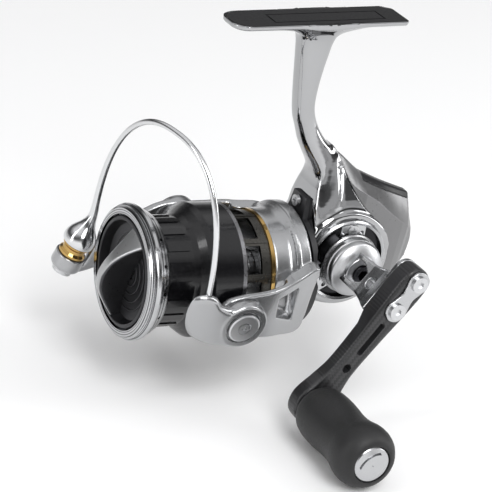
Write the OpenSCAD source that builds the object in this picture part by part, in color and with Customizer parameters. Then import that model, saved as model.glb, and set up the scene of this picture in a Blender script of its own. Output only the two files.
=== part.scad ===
// Spinning reel, built as an assembly of separate pieces that turn and slide on one another.
//
// Millimetres. The origin is the middle of the foot's flat seat, where the rod's tube lies.
// +Z goes up into the rod, -X to the rod's tip and to the spool, -Y to the crank's side.
// The works (spool, rotor, gears, body) stand in their own frame: X is the spool's shaft,
// which leans a little to the rod, so that the line goes off to the first guide.

/* [Foot and stem] */
// length of the foot along the rod
foot_length = 62; // [56:0.5:68]
// width of the foot
foot_width = 14.7; // [13:0.1:16.5]
// thickness of the foot at its two ends
foot_tip = 1.6; // [1.3:0.1:2]
// thickness of the dark seat pad let into the foot
pad_thick = 0.9; // [0.7:0.1:1.1]
// half width of the stem at its narrowest
stem_half = 3.7; // [3.2:0.1:4.2]

/* [Works frame] */
// distance from the seat down to the spool's shaft
axis_drop = 87.2; // [85:0.2:90]
// lean of the spool's shaft to the rod, degrees
axis_tilt = 2.6; // [0:0.2:4]

/* [Spool] */
// radius of the spool's front lip
lip_radius = 22; // [21.4:0.1:22.4]
// radius of the arbor that the line is wound on
arbor_radius = 17.6; // [16.6:0.1:18.2]
// outer radius of the skirt
skirt_radius = 21.8; // [21.4:0.1:22.2]
// small air holes round the lip
lip_holes = 15; // [10:1:18]
// travel of the spool along its shaft's line
stroke = 11; // [6:0.5:11]

/* [Drag knob] */
// outer radius of the drag knob
drag_radius = 18; // [17:0.1:18.2]
// height of the grip bar over the knob's rim
bar_height = 8; // [4:0.2:9]
// turn of the grip bar from upright to the crank's side, degrees
bar_turn = 23; // [0:1:60]

/* [Rotor and bail] */
// outer radius of the rotor's cup
rotor_radius = 21.8; // [21.4:0.1:22.2]
// turn of the rotor, degrees
rotor_turn = 12.8; // [0:0.2:30]
// inner face of the two rotor arms from the shaft
arm_inner = 23; // [22.7:0.1:23.4]
// thickness of the rotor arms at the bail's pivots
arm_thick = 2.4; // [2:0.1:2.6]
// thickness of the bail wire
wire_size = 2; // [1.3:0.1:2.2]
// outer radius of the line roller
roller_radius = 4.6; // [4:0.1:5]

/* [Crank] */
// distance from the crank's axis to the knob's axis
crank_length = 41; // [38:0.5:44]
// lean of the crank's arm from hanging straight down, degrees
crank_lean = 33.7; // [0:0.1:90]
// length of the grip knob
knob_length = 36.5; // [32:0.5:40]
// largest radius of the grip knob
knob_radius = 10.4; // [9.4:0.1:11.4]

/* [Gears] */
// teeth of the pinion on the rotor
pinion_teeth = 8; // [8:1:8]
// teeth of the drive gear on the crank's shaft
drive_teeth = 36; // [36:1:36]

/* [Hidden] */
$fn = 72;
run = 0.05;           // running fit of a shaft in its bore
gap = 0.3;            // air between pieces that move past each other

// works frame: where things are along the shaft
drive_x = 23;         // the crank's axis behind the frame's origin
drive_z = 7;          // and above the shaft
lip_front = -52;
lip_step = -48.7;
lip_back = -44.6;
knob_floor = -47;
dish_floor = -48.8;   // the knob's two pockets: their floor, and their radius there and at the rim
dish_radius = drag_radius - 2.4;
dish_mouth = drag_radius - 1.4;
web_front = -38;
web_back = -31.6;
flange_edge = -29.2;
skirt_end = -19.5;
rim_end = -18.2;
skirt_wall = 1.1;
shaft_slim = 1.3;
shaft_thick = 2.2;
pocket_radius = 14.5;

rotor_front = -6.2;
rotor_back = 5.8;
flare_front = 0;      // where the cup widens behind its barrel
barrel_radius = 19.4;
cup_wall = 1.6;
drum_radius = 18.9;
drum_front = -17.5;
bail_x = -21.1;
arm_outer = arm_inner + arm_thick;
lever_in = arm_outer + gap;
lever_out = lever_in + 4.3;
pivot_pin = 3;
boss_radius = 8.8;

// body: widths are counted out from the middle plane
body_front = 7.6;
cover_back = 9.6;
body_half = 11.4;     // half of the body's width
far_wall = 5.9;       // inner face of the wall away from the crank
gear_outer = 12.75;   // the drive gear's ring of teeth
gear_inner = gear_outer - 1.35;
gear_room = 0.35;
plate_rim = 1.3;      // raised rim of the side plate, round its sunk floor
drum_wall = 1.9;
chamber_radius = gear_outer + gear_room;
plate_radius = chamber_radius + plate_rim;
drum_body = plate_radius + drum_wall;    // radius of the body round the crank's axis
plate_seat = 10;      // the ledge that the side plate's flange lies on
plate_floor = 11.1;
plate_face = 13;
lobe_angles = [90, 210, 330];
lobe_reach = chamber_radius - 2.1;       // from the crank's axis to the plate's screws
lobe_wide = 9.2;
retainer_hub = 9.4;
screw_tip = 8.2;      // inner end of the plate's screws
screw_sink = 1.2;     // how far their heads are let in
thread_radius = 0.9;
bearing_out = 6;
bearing_wide = 2.8;
cap_seat = 9.4;
cap_radius = 9;
cover_screw_z = 23.6;
tube_radius = 9.2;    // the front cover's tube, with the clutch's race in it
race_out = 8.2;
race_in = 6.6;
roller_size = 0.9;
sleeve_out = 4.4;

// crank
shaft_radius = 3.4;
shaft_bore = 2;
hub_back = 13.5;
hub_front = hub_back + 1.5;
collar_end = 22.8;
collar_radius = 5.9;
arm_face = 46.3;      // outer face of the crank's arm
arm_back = 38.6;
arm_low = 40.4;       // inner face of the arm's thinner lower part
screw_far = 9.9;      // the two arm screws' places along the arm, from the crank's axis
screw_near = -1.2;
screw_radius = 1.4;
knob_back = arm_face + 0.5;
knob_end = knob_back + knob_length;
spindle_radius = 1.8;
spindle_seat = 2.2;
knob_bore = 4;

// gears
gear_back = 5.6;
gear_root = 3.05;
gear_tip = 1.95;
pinion_tip = 2.55;
pinion_root = 1.8;
pinion_body = 2.6;
pinion_front = 2.5;
pinion_bore = 1.38;
bush_front = 17.4;
bush_back = 19.2;
bush_out = 2.7;
spur_teeth = 12;
cam_teeth = 18;
cam_x = 35;
cam_z = 4;
cam_front = 3.6;      // the two spur gears lie between these distances on the far side
cam_back = 5.2;
cam_distance = sqrt(pow(cam_x - drive_x, 2) + pow(cam_z - drive_z, 2));
cam_angle = atan2(cam_z - drive_z, cam_x - drive_x);
spur_pitch = cam_distance * spur_teeth / (spur_teeth + cam_teeth);
cam_pitch = cam_distance - spur_pitch;
tooth_out = 0.55;
tooth_in = 0.85;
post_radius = 1.5;
crank_pin = 1.1;      // pin on the cam gear that drives the slider

// slider and its rod
slider_x = 27.2;
slider_long = 8;
slider_near = 1.6;    // the slider's faces on the crank's side and on the far side
slider_far = 2.6;
slider_low = -5;
slider_top = 10.8;
groove_x = cam_x - stroke / 2;
rod_z = -3.6;
rod_radius = 0.9;
rod_long = 5;         // length of the slider round its rod
rod_end = slider_x + rod_long + stroke + 2.7;
room = 0.4;           // air round the slider in the body

// bail
wire_near = [-14.6, -27, 9];     // where the wire leaves the near lever
wire_far = [-30.47, 27, 2.2];    // where it runs into the roller's cone
wire_span = norm(wire_far - wire_near);
wire_turn = atan2(wire_near[0] - wire_far[0], wire_far[1] - wire_near[1]);
wire_drop = asin((wire_near[2] - wire_far[2]) / wire_span);
wire_root = 2.5;      // length of the wire inside the near lever
bow_radius = wire_span / 2;
leg_height = 17.7;    // straight part of the wire before its bow
joint = 0.1;          // the wire's straight and round stretches meet inside a small ball
hub_far = 7.4;
far_thick = 2.8;
well_radius = 6;      // well in each lever for its cap
well_depth = 0.7;
pivot_cap = 5.3;
roller_at = [-34, 27, -12];
roller_lean = 14;
bolt_radius = 1.3;
bolt_head = 3.4;
seat_low = -7.4;      // the disc under the roller, in the roller's own frame
seat_top = -1.8;
roller_low = seat_top + 0.4;
roller_top = 2.5;
cone_low = 2.9;

// ---------------------------------------------------------------- frames

module works() { rotate([0, axis_tilt, 0]) translate([0, 0, -axis_drop]) children(); }
module on_rotor() { works() rotate([rotor_turn, 0, 0]) children(); }
module on_bail() { on_rotor() translate([bail_x, 0, 0]) children(); }
module on_drive() { works() translate([drive_x, 0, drive_z]) children(); }
module on_crank() { on_drive() rotate([0, crank_lean, 0]) children(); }

// a shape of revolution round the shaft: the outline's x is the radius, its y goes along +X
module spin_x() { rotate([0, 90, 0]) rotate_extrude() children(); }
// the same round the crank's axis: the outline's y goes out along -Y
module spin_y() { rotate([90, 0, 0]) rotate_extrude() children(); }

module tube_x(x0, x1, outer, inner = 0) {
    translate([x0, 0, 0]) rotate([0, 90, 0]) difference() {
        cylinder(r = outer, h = x1 - x0);
        if (inner > 0) translate([0, 0, -1]) cylinder(r = inner, h = x1 - x0 + 2);
    }
}

// from y0 outwards to y1, both counted along -Y
module tube_y(y0, y1, outer, inner = 0) {
    translate([0, -y0, 0]) rotate([90, 0, 0]) difference() {
        cylinder(r = outer, h = y1 - y0);
        if (inner > 0) translate([0, 0, -1]) cylinder(r = inner, h = y1 - y0 + 2);
    }
}

// a side view (x, z) given thickness from y0 to y1, counted along +Y
module slab(y0, y1) { translate([0, y1, 0]) rotate([90, 0, 0]) linear_extrude(y1 - y0) children(); }
// a front view (y, z) given depth from x0 to x1
module front_slab(x0, x1) {
    translate([x0, 0, 0]) rotate([90, 0, 90]) linear_extrude(x1 - x0) children();
}

// ---------------------------------------------------------------- foot, stem and body

module foot_plan(inset) {
    r = 5.5;
    h = foot_width / 2 - inset;
    e = foot_length / 2 - inset;
    polygon([[-e + r, -h], [e - 1.2, -h], [e, -h + 1.2], [e, h - 2.6], [e - 3.1, h], [-e + r, h]]);
    translate([-e, -h + r]) square([r + 1, 2 * (h - r)]);
    for (side = [-1, 1]) translate([-e + r, side * (h - r)]) circle(r = r);
}

module foot_side() {
    e = foot_length / 2;
    polygon([[-e, 0], [-e, -foot_tip], [-20, -2.1], [-9, -3.1], [10, -3.3], [20, -2.2],
        [e, -foot_tip], [e, 0]]);
}

stem_front = [[-10, -2.6], [-6.6, -4.1], [-5, -7.5], [-4.4, -13], [-3.6, -21], [-2.8, -28],
    [-1.9, -33.5], [-0.4, -37.5], [1.6, -42.5], [3.8, -46.5], [6, -50], [7.7, -53.5],
    [8.4, -57], [7.6, -62], [7.2, -70]];
stem_back = [[16, -66], [16, -50], [13.1, -44.5], [11.5, -43], [9.2, -40.6], [6.6, -36.8],
    [4.8, -32.5], [4.2, -28.6], [4.4, -23.5], [5.2, -17.5], [6.1, -12.7], [7.2, -8], [9.2, -4.6],
    [13, -2.6]];

// a smooth curve through points, in n short steps from each to the next
function bend(p, n) = concat([for (i = [0 : len(p) - 2], k = [0 : n - 1])
    let (t = k / n, a = p[max(i - 1, 0)], b = p[i], c = p[i + 1], d = p[min(i + 2, len(p) - 1)])
        0.5 * (2 * b + (c - a) * t + (2 * a - 5 * b + 4 * c - d) * t * t
            + (3 * b - a - 3 * c + d) * t * t * t)], [p[len(p) - 1]]);

module stem_side() { polygon(concat(bend(stem_front, 3), bend(stem_back, 3))); }

module stem_view() {
    h = stem_half;
    half = bend([[6.6, -1.6], [5.1, -5], [4.3, -10], [h, -28], [h + 0.2, -38], [5.6, -48], [9, -62],
        [10.4, -75]], 3);
    last = len(half) - 1;
    polygon(concat(half, [for (i = [0 : last]) [-half[last - i][0], half[last - i][1]]]));
}

// side view of the cast body behind the rotor, up to its seam with the guard
module body_side() {
    polygon([[cover_back, -7], [cover_back, 24], [10.2, 30], [12, 36], [15.2, 43.3], [18.5, 38.5], [22, 32],
        [27, 25.3], [32.4, 20.5], [36.4, 16.5], [38.6, 12], [36, 0], [30, -6], [16, -8.6]]);
    translate([drive_x, drive_z]) circle(r = drum_body);
}

module body_view() {
    b = body_half;
    polygon([[-b, -12], [-b, 15], [-9.2, 25], [-5, 37], [-3.9, 46], [3.9, 46], [5, 37], [9.2, 25], [b, 15],
        [b, -12]]);
}

// the hollow inside body and guard, with room for every gear and for the slider's travel
module chamber() {
    translate([drive_x, 0, drive_z]) tube_y(-far_wall, body_half + 1, chamber_radius);
    translate([drive_x, 0, drive_z]) tube_y(-body_half - 1, -far_wall + 1, bearing_out);
    translate([drive_x, -slider_near - room, slider_low + 2.2])
        cube([slider_x + slider_long + stroke + room - drive_x, slider_near + slider_far + 2 * room,
            slider_top + room - slider_low - 2.2]);
    translate([drive_x, -slider_near - room, slider_low - room])
        cube([slider_x + rod_long + stroke + room - drive_x, slider_near + slider_far + 2 * room, 4]);
    translate([cam_x, 0, cam_z]) tube_y(-far_wall, -slider_far, cam_pitch + tooth_out + room);
    tube_x(cover_back - 3, 14, pinion_body + 0.8);
}

// what stands inside the hollow: the cam gear's post, the pinion's rear rest, the guide rod's lug
module inner_lugs() {
    translate([cam_x, 0, cam_z]) tube_y(-far_wall - 1, -slider_far - gap, post_radius);
    difference() {
        union() {
            intersection() {
                tube_x(bush_front, bush_back, bush_out + 0.6);
                translate([0, -1.2, -5]) cube([40, 10, 10]);
            }
            translate([bush_front, 0.6, -bush_out - 0.6]) cube([bush_back - bush_front, far_wall, 4.8]);
        }
        tube_x(0, 60, bush_out);
    }
    difference() {
        translate([24.4, -1.2, -8]) cube([2, far_wall + 2.2, rod_z + rod_radius + 0.8 + 8]);
        translate([0, 0, rod_z]) tube_x(0, 60, rod_radius);
    }
}

module body_frame() {
    color("silver") {
        difference() {
            union() {
                intersection() {
                    translate([0, 0, -5]) linear_extrude(5) foot_plan(0);
                    slab(-foot_width, foot_width) foot_side();
                }
                intersection() {
                    slab(-12, 12) stem_side();
                    front_slab(-12, 25) stem_view();
                }
                works() intersection() {
                    slab(-body_half, body_half) body_side();
                    front_slab(cover_back, 60) body_view();
                }
            }
            translate([0, 0, -pad_thick]) linear_extrude(4) foot_plan(0.8);
            works() chamber();
            works() front_cover_room();
            on_drive() tube_y(plate_seat, body_half + 1, plate_radius);
            on_drive() tube_y(-body_half - 1, -cap_seat, cap_radius);
            works() translate([0, 0, cover_screw_z]) tube_x(0, cover_back + 4, thread_radius);
        }
        works() inner_lugs();
    }
}

module foot_pad() {
    color("#15161a") difference() {
        translate([0, 0, -pad_thick]) linear_extrude(pad_thick) foot_plan(0.8);
        difference() {
            translate([-16.5, -4.2, -0.3]) cube([40, 7.2, 1]);
            translate([-16, -3.7, -1]) cube([39, 6.2, 3]);
        }
    }
}

// plate that closes the body on the crank's side and holds the near bearing
module side_plate() {
    color("gainsboro") on_drive() difference() {
        union() {
            tube_y(plate_seat - 2.8, plate_seat, chamber_radius);
            spin_y() polygon([[0, plate_seat], [plate_radius, plate_seat], [plate_radius, plate_face - 0.5],
                [plate_radius - 0.5, plate_face], [chamber_radius, plate_face - 0.4],
                [chamber_radius, plate_floor], [0, plate_floor]]);
        }
        tube_y(0, 20, bearing_out - 1);
        tube_y(plate_face - 1 - bearing_wide, 20, bearing_out);
        for (a = lobe_angles) rotate([0, -a, 0]) translate([lobe_reach, 0, 0])
            tube_y(screw_tip, 20, thread_radius);
    }
}

// three lobed piece that keeps the near bearing in the side plate
module bearing_retainer() {
    color("gainsboro") on_drive() difference() {
        union() {
            tube_y(plate_floor, plate_face, retainer_hub);
            for (a = lobe_angles) rotate([0, -a, 0]) intersection() {
                tube_y(plate_floor, plate_face - 0.2, chamber_radius);
                translate([lobe_reach - 2.4, -20, -lobe_wide / 2]) cube([8, 20, lobe_wide]);
            }
        }
        tube_y(0, plate_face - 1, bearing_out);
        tube_y(0, 20, bearing_out - 1);
        for (a = lobe_angles) rotate([0, -a, 0]) translate([lobe_reach, 0, 0]) {
            tube_y(0, 20, thread_radius);
            tube_y(plate_face - screw_sink, 20, 2.05);
        }
        for (a = lobe_angles, s = [-1, 1]) rotate([0, -a - s * 18.5, 0])
            translate([lobe_reach - 0.2, 0, 0]) tube_y(plate_face - screw_sink, 20, 0.75);
    }
}

module cross_head(depth) {
    for (t = [0, 90]) rotate([0, 0, t]) cube([2.1, 0.5, 2 * depth], center = true);
}

module plate_screws() {
    color("silver") for (a = lobe_angles) on_drive() rotate([0, -a, 0]) translate([lobe_reach, 0, 0])
        rotate([90, 0, 0]) difference() {
            union() {
                translate([0, 0, screw_tip])
                    cylinder(r = thread_radius, h = plate_face - screw_sink - screw_tip);
                translate([0, 0, plate_face - screw_sink])
                    cylinder(r = 1.95, h = screw_sink + 0.1);
            }
            translate([0, 0, plate_face + 0.1]) cross_head(0.6);
        }
}

// the guard's sections from front to back: distance behind the origin, then the height and the
// half width of its ridge, of its widest line and of its underside
guard_sections = [
    [15.2, 43.3, 3.2, 38, 4.6, 24, 6],
    [19.9, 40.1, 2.9, 34, 6.4, 10, 8],
    [24.6, 36.5, 2.5, 30.6, 8, -4, 9],
    [28.3, 33.9, 2.1, 28.8, 8.9, -6, 9.4],
    [33, 31.9, 2, 26.4, 9.3, -7, 8.8],
    [37.7, 30, 2, 22.8, 9.1, -7.6, 8],
    [42, 28.5, 2, 19.8, 8.6, -7.3, 7],
    [45, 27.5, 2, 17.9, 8, -5.5, 6],
    [48.3, 26.4, 2, 16.3, 6.6, -0.6, 4.6],
    [50, 18.5, 3.6, 14.8, 5.2, 1, 3.6],
    [51.8, 14.2, 3.4, 12, 3.8, 3, 3],
    [52.9, 9.6, 2.8, 9, 2.9, 8, 2.8]];

// a skin over the sections, each with six corners, closed at its two ends
module guard_solid() {
    last = len(guard_sections) - 1;
    corners = [for (s = guard_sections) for (c = [[-s[2], s[1]], [s[2], s[1]], [s[4], s[3]],
        [s[6], s[5]], [-s[6], s[5]], [-s[4], s[3]]]) [s[0], c[0], c[1]]];
    side = [for (i = [0 : last - 1]) for (k = [0 : 5]) [6 * i + k, 6 * i + (k + 1) % 6]];
    polyhedron(corners, concat([[for (k = [0 : 5]) 5 - k], [for (k = [0 : 5]) 6 * last + k]],
        [for (e = side) [e[0], e[1], e[1] + 6]], [for (e = side) [e[0], e[1] + 6, e[0] + 6]]));
}

module rear_guard() {
    color("#9a9c9f") works() difference() {
        guard_solid();
        slab(-13, 13) body_side();
        chamber();
        trim_room();
        translate([0, 0, rod_z]) tube_x(slider_x, rod_end, rod_radius);
    }
}

// strip along the guard's top edge
module trim_room() {
    slab(-5, 5) polygon([[27.6, 36], [37.7, 31.4], [48.4, 28.5], [50.4, 24], [48.6, 24.4], [37.4, 28.3],
        [28.1, 32.2]]);
}

module guard_trim() {
    color("#101114") works() intersection() {
        trim_room();
        guard_solid();
    }
}

// dark plate that closes the body's front, with the lug for its screw
module front_cover_room() {
    tube_x(body_front, cover_back, 19.6);
    front_slab(body_front, cover_back) polygon([[-6, 14], [-4.2, 26], [4.2, 26], [6, 14]]);
}

module front_cover() {
    color("#2b2c30") works() difference() {
        union() {
            intersection() {
                front_cover_room();
                slab(-20, 20) polygon([[0, -13], [12, -13], [12, 30], [8.6, 30], [6.6, 10], [0, -10]]);
            }
            tube_x(body_front - 5, cover_back, tube_radius);
        }
        tube_x(-20, body_front - 1, race_out);
        tube_x(-20, 40, bearing_out);
        translate([drive_x, 0, drive_z]) tube_y(plate_seat - 0.1, 30, plate_radius + 0.1);
        translate([0, 0, cover_screw_z]) tube_x(0, 40, thread_radius);
    }
}

module cover_screw() {
    color("silver") works() translate([body_front, 0, cover_screw_z]) difference() {
        union() {
            tube_x(0, cover_back - body_front + 3.6, thread_radius);
            tube_x(-1.1, 0, 1.9);
        }
        translate([-1.1, 0, 0]) rotate([0, 90, 0]) cross_head(0.5);
    }
}

module far_cap() {
    color("#35373b") on_drive() mirror([0, 1, 0]) difference() {
        spin_y() polygon([[0, cap_seat], [cap_radius, cap_seat], [cap_radius, body_half + 0.4],
            [8, body_half + 1.2],
            [6.4, body_half + 1.2], [6, body_half + 0.7], [0, body_half + 0.7]]);
        for (s = [-1, 1]) translate([5 * s, 0, 0]) tube_y(body_half - 0.4, 20, 0.8);
    }
}

// ---------------------------------------------------------------- crank, its shaft and gear

module drive_bearings() {
    color("silver") on_drive() {
        tube_y(plate_face - 1 - bearing_wide, plate_face - 1, bearing_out, shaft_radius + run);
        tube_y(-cap_seat, -cap_seat + bearing_wide, bearing_out, shaft_radius + run);
    }
}

// face gear: each straight tooth lies along the pinion's axis as it comes past the pinion
module drive_gear() {
    color("goldenrod") on_drive() difference() {
        union() {
            tube_y(gear_root, gear_back, gear_outer, shaft_radius);
            tube_y(gear_back - 0.4, gear_back + 1, 5.4, shaft_radius);
            intersection() {
                tube_y(gear_tip, gear_root + 0.3, gear_outer, gear_inner);
                for (k = [0 : drive_teeth - 1]) rotate([0, k * 360 / drive_teeth, 0])
                    translate([-gear_outer + 2.5, 0, -drive_z]) rotate([90, 0, 90])
                        linear_extrude(9, center = true) polygon([[-gear_root - 0.2, -0.33],
                            [-gear_tip, -0.16], [-gear_tip, 0.16], [-gear_root - 0.2, 0.33]]);
            }
        }
        for (k = [0 : 5]) rotate([0, k * 60, 0]) translate([8.2, 0, 0]) tube_y(0, 10, 1.5);
    }
}

module drive_shaft() {
    color("silver") on_drive() {
        tube_y(-cap_seat + 0.4, 21.6, shaft_radius, shaft_bore);
        rotate([0, -cam_angle, 0]) spur(spur_teeth, spur_pitch, shaft_radius - 0.1);
    }
}

// a spur gear's teeth round the Y axis, one of them pointing along +X
module spur(n, pitch, bore) {
    root = pitch - tooth_in;
    tip = pitch + tooth_out;
    t = 180 * pitch / n / 57.3;
    difference() {
        union() {
            tube_y(-cam_back, -cam_front, root);
            for (k = [0 : n - 1]) rotate([0, k * 360 / n, 0])
                slab(cam_front, cam_back) polygon([[root - 0.4, -0.47 * t], [pitch, -0.36 * t],
                    [tip, -0.16 * t], [tip, 0.16 * t], [pitch, 0.36 * t], [root - 0.4, 0.47 * t]]);
        }
        tube_y(-cam_back - 1, -cam_front + 1, bore);
    }
}

module cam_gear() {
    color("goldenrod") works() translate([cam_x, 0, cam_z]) {
        rotate([0, -cam_angle + 180 / cam_teeth, 0]) spur(cam_teeth, cam_pitch, post_radius + run);
        translate([-stroke / 2, 0, 0]) tube_y(-cam_front - 0.5, -slider_far - gap, crank_pin);
    }
}

module hub_ring() {
    color("#4a4c50") on_drive() spin_y() polygon([[shaft_radius, hub_back], [9.9, hub_back],
        [10.3, hub_back + 0.4], [10.3, hub_front - 0.4], [9.9, hub_front], [shaft_radius, hub_front]]);
}

module hub_cap() {
    b = hub_front;
    color("gainsboro") on_drive() spin_y() polygon([[shaft_radius, b], [9.5, b], [9.7, b + 1],
        [9.5, b + 3.6], [8.8, b + 4.9], [collar_radius, b + 5.9], [collar_radius, collar_end],
        [shaft_radius, collar_end]]);
}

module handle_screw() {
    color("#2c2d30") on_drive() difference() {
        union() {
            tube_y(4, 22.4, shaft_bore);
            tube_y(21.6, 23.6, 3.1);
        }
        translate([0, -21.4, 0]) rotate([90, 0, 0]) cylinder(r = 1.9, h = 4, $fn = 6);
    }
}

// fork that carries the crank's arm, with a flange under the arm's head
module crank_yoke() {
    color("gainsboro") on_crank() difference() {
        union() {
            intersection() {
                front_slab(-5.4, 5.4) polygon([[-21, -5.6], [-22.8, -5.6], [-29, -5.8], [-36, -7.6],
                    [-arm_back, -7.8], [-arm_back, 7.8], [-36, 7.6], [-29, 5.8], [-22.8, 5.6], [-21, 5.6]]);
                linear_extrude(30, center = true) polygon([[-5.4, -21], [5.4, -21], [5.2, -24],
                    [3.4, -28], [3.4, -34], [4.4, -arm_back], [-4.4, -arm_back], [-3.4, -34],
                    [-3.4, -28], [-5.2, -24]]);
            }
            slab(-arm_back, -arm_back + 1.6) {
                translate([-4.4, 5]) square([8.8, 4.9]);
                translate([0, screw_far]) circle(r = 4.4);
            }
        }
        tube_y(20, collar_end, collar_radius);
        tube_y(20, 23.7, 3.6);
        front_slab(-8, 8) polygon([[-22.8, -3.7], [-25.6, -3.7], [-28.4, -1.8], [-28.4, 1.8], [-25.6, 3.7],
            [-22.8, 3.7]]);
        translate([0, -32.4, 0]) tube_x(-8, 8, 1.9);
        for (z = [screw_far, screw_near]) translate([0, 0, z]) tube_y(37, 60, screw_radius);
    }
}

module arm_outline() {
    e = 7;
    translate([0, 9]) circle(r = 5.3);
    translate([-5.3, -3]) square([10.6, 12]);
    polygon([[-5.3, -3], [-4.4, -13], [-4.1, -26], [-5.4, -33], [-e, -crank_length + 1.2],
        [e, -crank_length + 1.2], [5.4, -33], [4.1, -26], [4.4, -13], [5.3, -3]]);
    translate([0, -crank_length]) circle(r = e);
}

module crank_arm() {
    color("#1c1d20") on_crank() difference() {
        intersection() {
            slab(-arm_face, -arm_back) arm_outline();
            front_slab(-20, 20) polygon([[-arm_back, 16], [-arm_back, -7], [-arm_low, -12], [-arm_low, -60],
                [-arm_face, -60], [-arm_face, 16]]);
        }
        slab(-60, -30) {
            translate([0, -8]) circle(r = 1.1);
            translate([-1.1, -18.5]) square([2.2, 10.5]);
            translate([0, -18.5]) circle(r = 1.1);
            translate([0, -25.3]) circle(r = 1.5);
        }
        for (z = [screw_far, screw_near]) translate([0, 0, z]) tube_y(30, 60, screw_radius);
        translate([0, 0, -crank_length]) tube_y(30, 60, spindle_seat);
        slab(-60, -arm_face + 0.5) plate_outline();
    }
}

module plate_outline() {
    translate([0, screw_far]) circle(r = 3.9);
    translate([0, screw_near]) circle(r = 3.9);
    polygon([[-3.6, screw_far - 1.5], [-2.5, 6.4], [-2.5, 2.3], [-3.6, screw_near + 1.5],
        [3.6, screw_near + 1.5], [2.5, 2.3], [2.5, 6.4], [3.6, screw_far - 1.5]]);
}

module arm_plate() {
    color("silver") on_crank() difference() {
        slab(-arm_face - 0.9, -arm_face + 0.5) plate_outline();
        for (z = [screw_far, screw_near]) translate([0, 0, z]) tube_y(30, 60, screw_radius);
    }
}

module arm_screws() {
    f = arm_face + 0.9;
    color("silver") on_crank() for (z = [screw_far, screw_near]) translate([0, 0, z]) difference() {
        union() {
            tube_y(37, f, screw_radius);
            tube_y(f, f + 0.9, 2.7);
        }
        translate([0, -f - 0.2, 0]) rotate([90, 0, 0]) cylinder(r = 1.25, h = 3, $fn = 6);
    }
}

module knob_spindle() {
    color("silver") on_crank() translate([0, 0, -crank_length]) {
        tube_y(arm_low - 0.8, arm_low, 3.4);
        tube_y(arm_low, arm_face, spindle_seat);
        tube_y(arm_face, knob_back - 0.1, 3.4);
        tube_y(arm_face, knob_end - 5, spindle_radius);
        tube_y(knob_end - 6, knob_end - 4.6, 3);
    }
}

module knob_grip() {
    b = knob_back + 0.2;
    r = knob_radius;
    e = knob_end;
    color("#1a1b1d") on_crank() translate([0, 0, -crank_length]) spin_y() polygon([[knob_bore, b],
        [6, b], [7.4, b + 0.6], [8.6, b + 2.4], [9.3, b + 6], [9.4, b + 10], [9.1, b + 15],
        [8.9, b + 19], [9.2, b + 23], [9.9, b + 26], [r, b + 29], [r, b + 31], [r - 0.5, b + 33],
        [r - 1.6, e - 1.5], [7.4, e - 0.4], [6.5, e], [6.3, e], [6.3, e - 1.8], [knob_bore, e - 1.8]]);
}

module knob_cap() {
    color("gainsboro") on_crank() translate([0, 0, -crank_length]) difference() {
        spin_y() polygon([[0, knob_end - 1.8], [6.3, knob_end - 1.8], [6.3, knob_end - 0.6],
            [5.7, knob_end - 0.1],
            [4, knob_end + 0.4], [0, knob_end + 0.6]]);
        rotate([0, 20, 0]) intersection() {
            translate([2.6, 0, 0]) tube_y(knob_end - 0.4, knob_end + 2, 6.4, 5.6);
            translate([-6, -100, -4]) cube([6, 100, 8]);
        }
    }
}

module knob_bearings() {
    color("silver") on_crank() translate([0, 0, -crank_length]) {
        tube_y(knob_back + 1, knob_back + 3.6, knob_bore, spindle_radius + run);
        tube_y(knob_end - 9, knob_end - 6.4, knob_bore, spindle_radius + run);
    }
}

// ---------------------------------------------------------------- rotor

module rotor_arm_side() {
    polygon([[-10, arm_inner], [14.5, arm_inner], [17, 19], [26.9, 17], [26.9, 21.2], [14, arm_outer],
        [-10, arm_outer]]);
}

// one arm in the bail's frame, going out along +Y, with the pin that a bail lever turns on
module rotor_arm() {
    difference() {
        intersection() {
            // seen from outside: x back along the shaft, z across
            slab(0, 40) {
                circle(r = boss_radius - 0.3);
                polygon([[-2, boss_radius - 2], [2, boss_radius - 0.8], [10, 10.2], [26.9, 15.6],
                    [26.9, -9.4], [8, -8.6], [2, -boss_radius + 0.8], [-2, -boss_radius + 2]]);
            }
            linear_extrude(60, center = true) rotor_arm_side();
        }
        // window
        slab(10, 40) polygon([[13.5, 6.8], [20, 9.4], [21.6, -3.8], [14.6, -0.6]]);
    }
    translate([0, arm_outer - 0.5, 0]) rotate([-90, 0, 0]) difference() {
        cylinder(r = pivot_pin, h = lever_out - 0.4 - arm_outer + 0.5);
        translate([0, 0, 1.5]) cylinder(r = 1, h = 9);
    }
}

module rotor_frame() {
    color("#c9cbce") on_rotor() {
        spin_x() polygon([[pinion_body, rotor_front - 2.6], [5.6, rotor_front - 2.6],
            [5.6, rotor_front - 0.4], [barrel_radius - 0.4, rotor_front - 0.4],
            [barrel_radius, rotor_front], [barrel_radius + 0.2, flare_front - 1.5],
            [barrel_radius + 0.8, flare_front], [rotor_radius - 0.5, flare_front + 1.5],
            [rotor_radius, flare_front + 2.2], [rotor_radius, rotor_back - 0.6],
            [rotor_radius - 0.6, rotor_back], [rotor_radius - cup_wall, rotor_back],
            [rotor_radius - cup_wall, flare_front + 1.4], [barrel_radius - cup_wall + 0.4, flare_front],
            [barrel_radius - cup_wall + 0.4, rotor_front + 1.4], [pinion_body, rotor_front + 1.4]]);
        // the two arms are alike, half a turn apart
        translate([bail_x, 0, 0]) for (t = [0, 180]) rotate([t, 0, 0]) mirror([0, 1, 0]) rotor_arm();
    }
}

module rotor_drum() {
    color("#5d5e60") on_rotor() difference() {
        tube_x(drum_front, rotor_front - 0.4, drum_radius, drum_radius - 1);
        for (k = [0 : 9]) rotate([k * 36 + 8, 0, 0])
            translate([drum_front + 1, -4.6, 10]) cube([5.4, 9.2, 12]);
    }
}

module rotor_ring() {
    color("gold") on_rotor() tube_x(rotor_front - 1.6, rotor_front - 0.4, drum_radius + 0.5, drum_radius);
}

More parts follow.
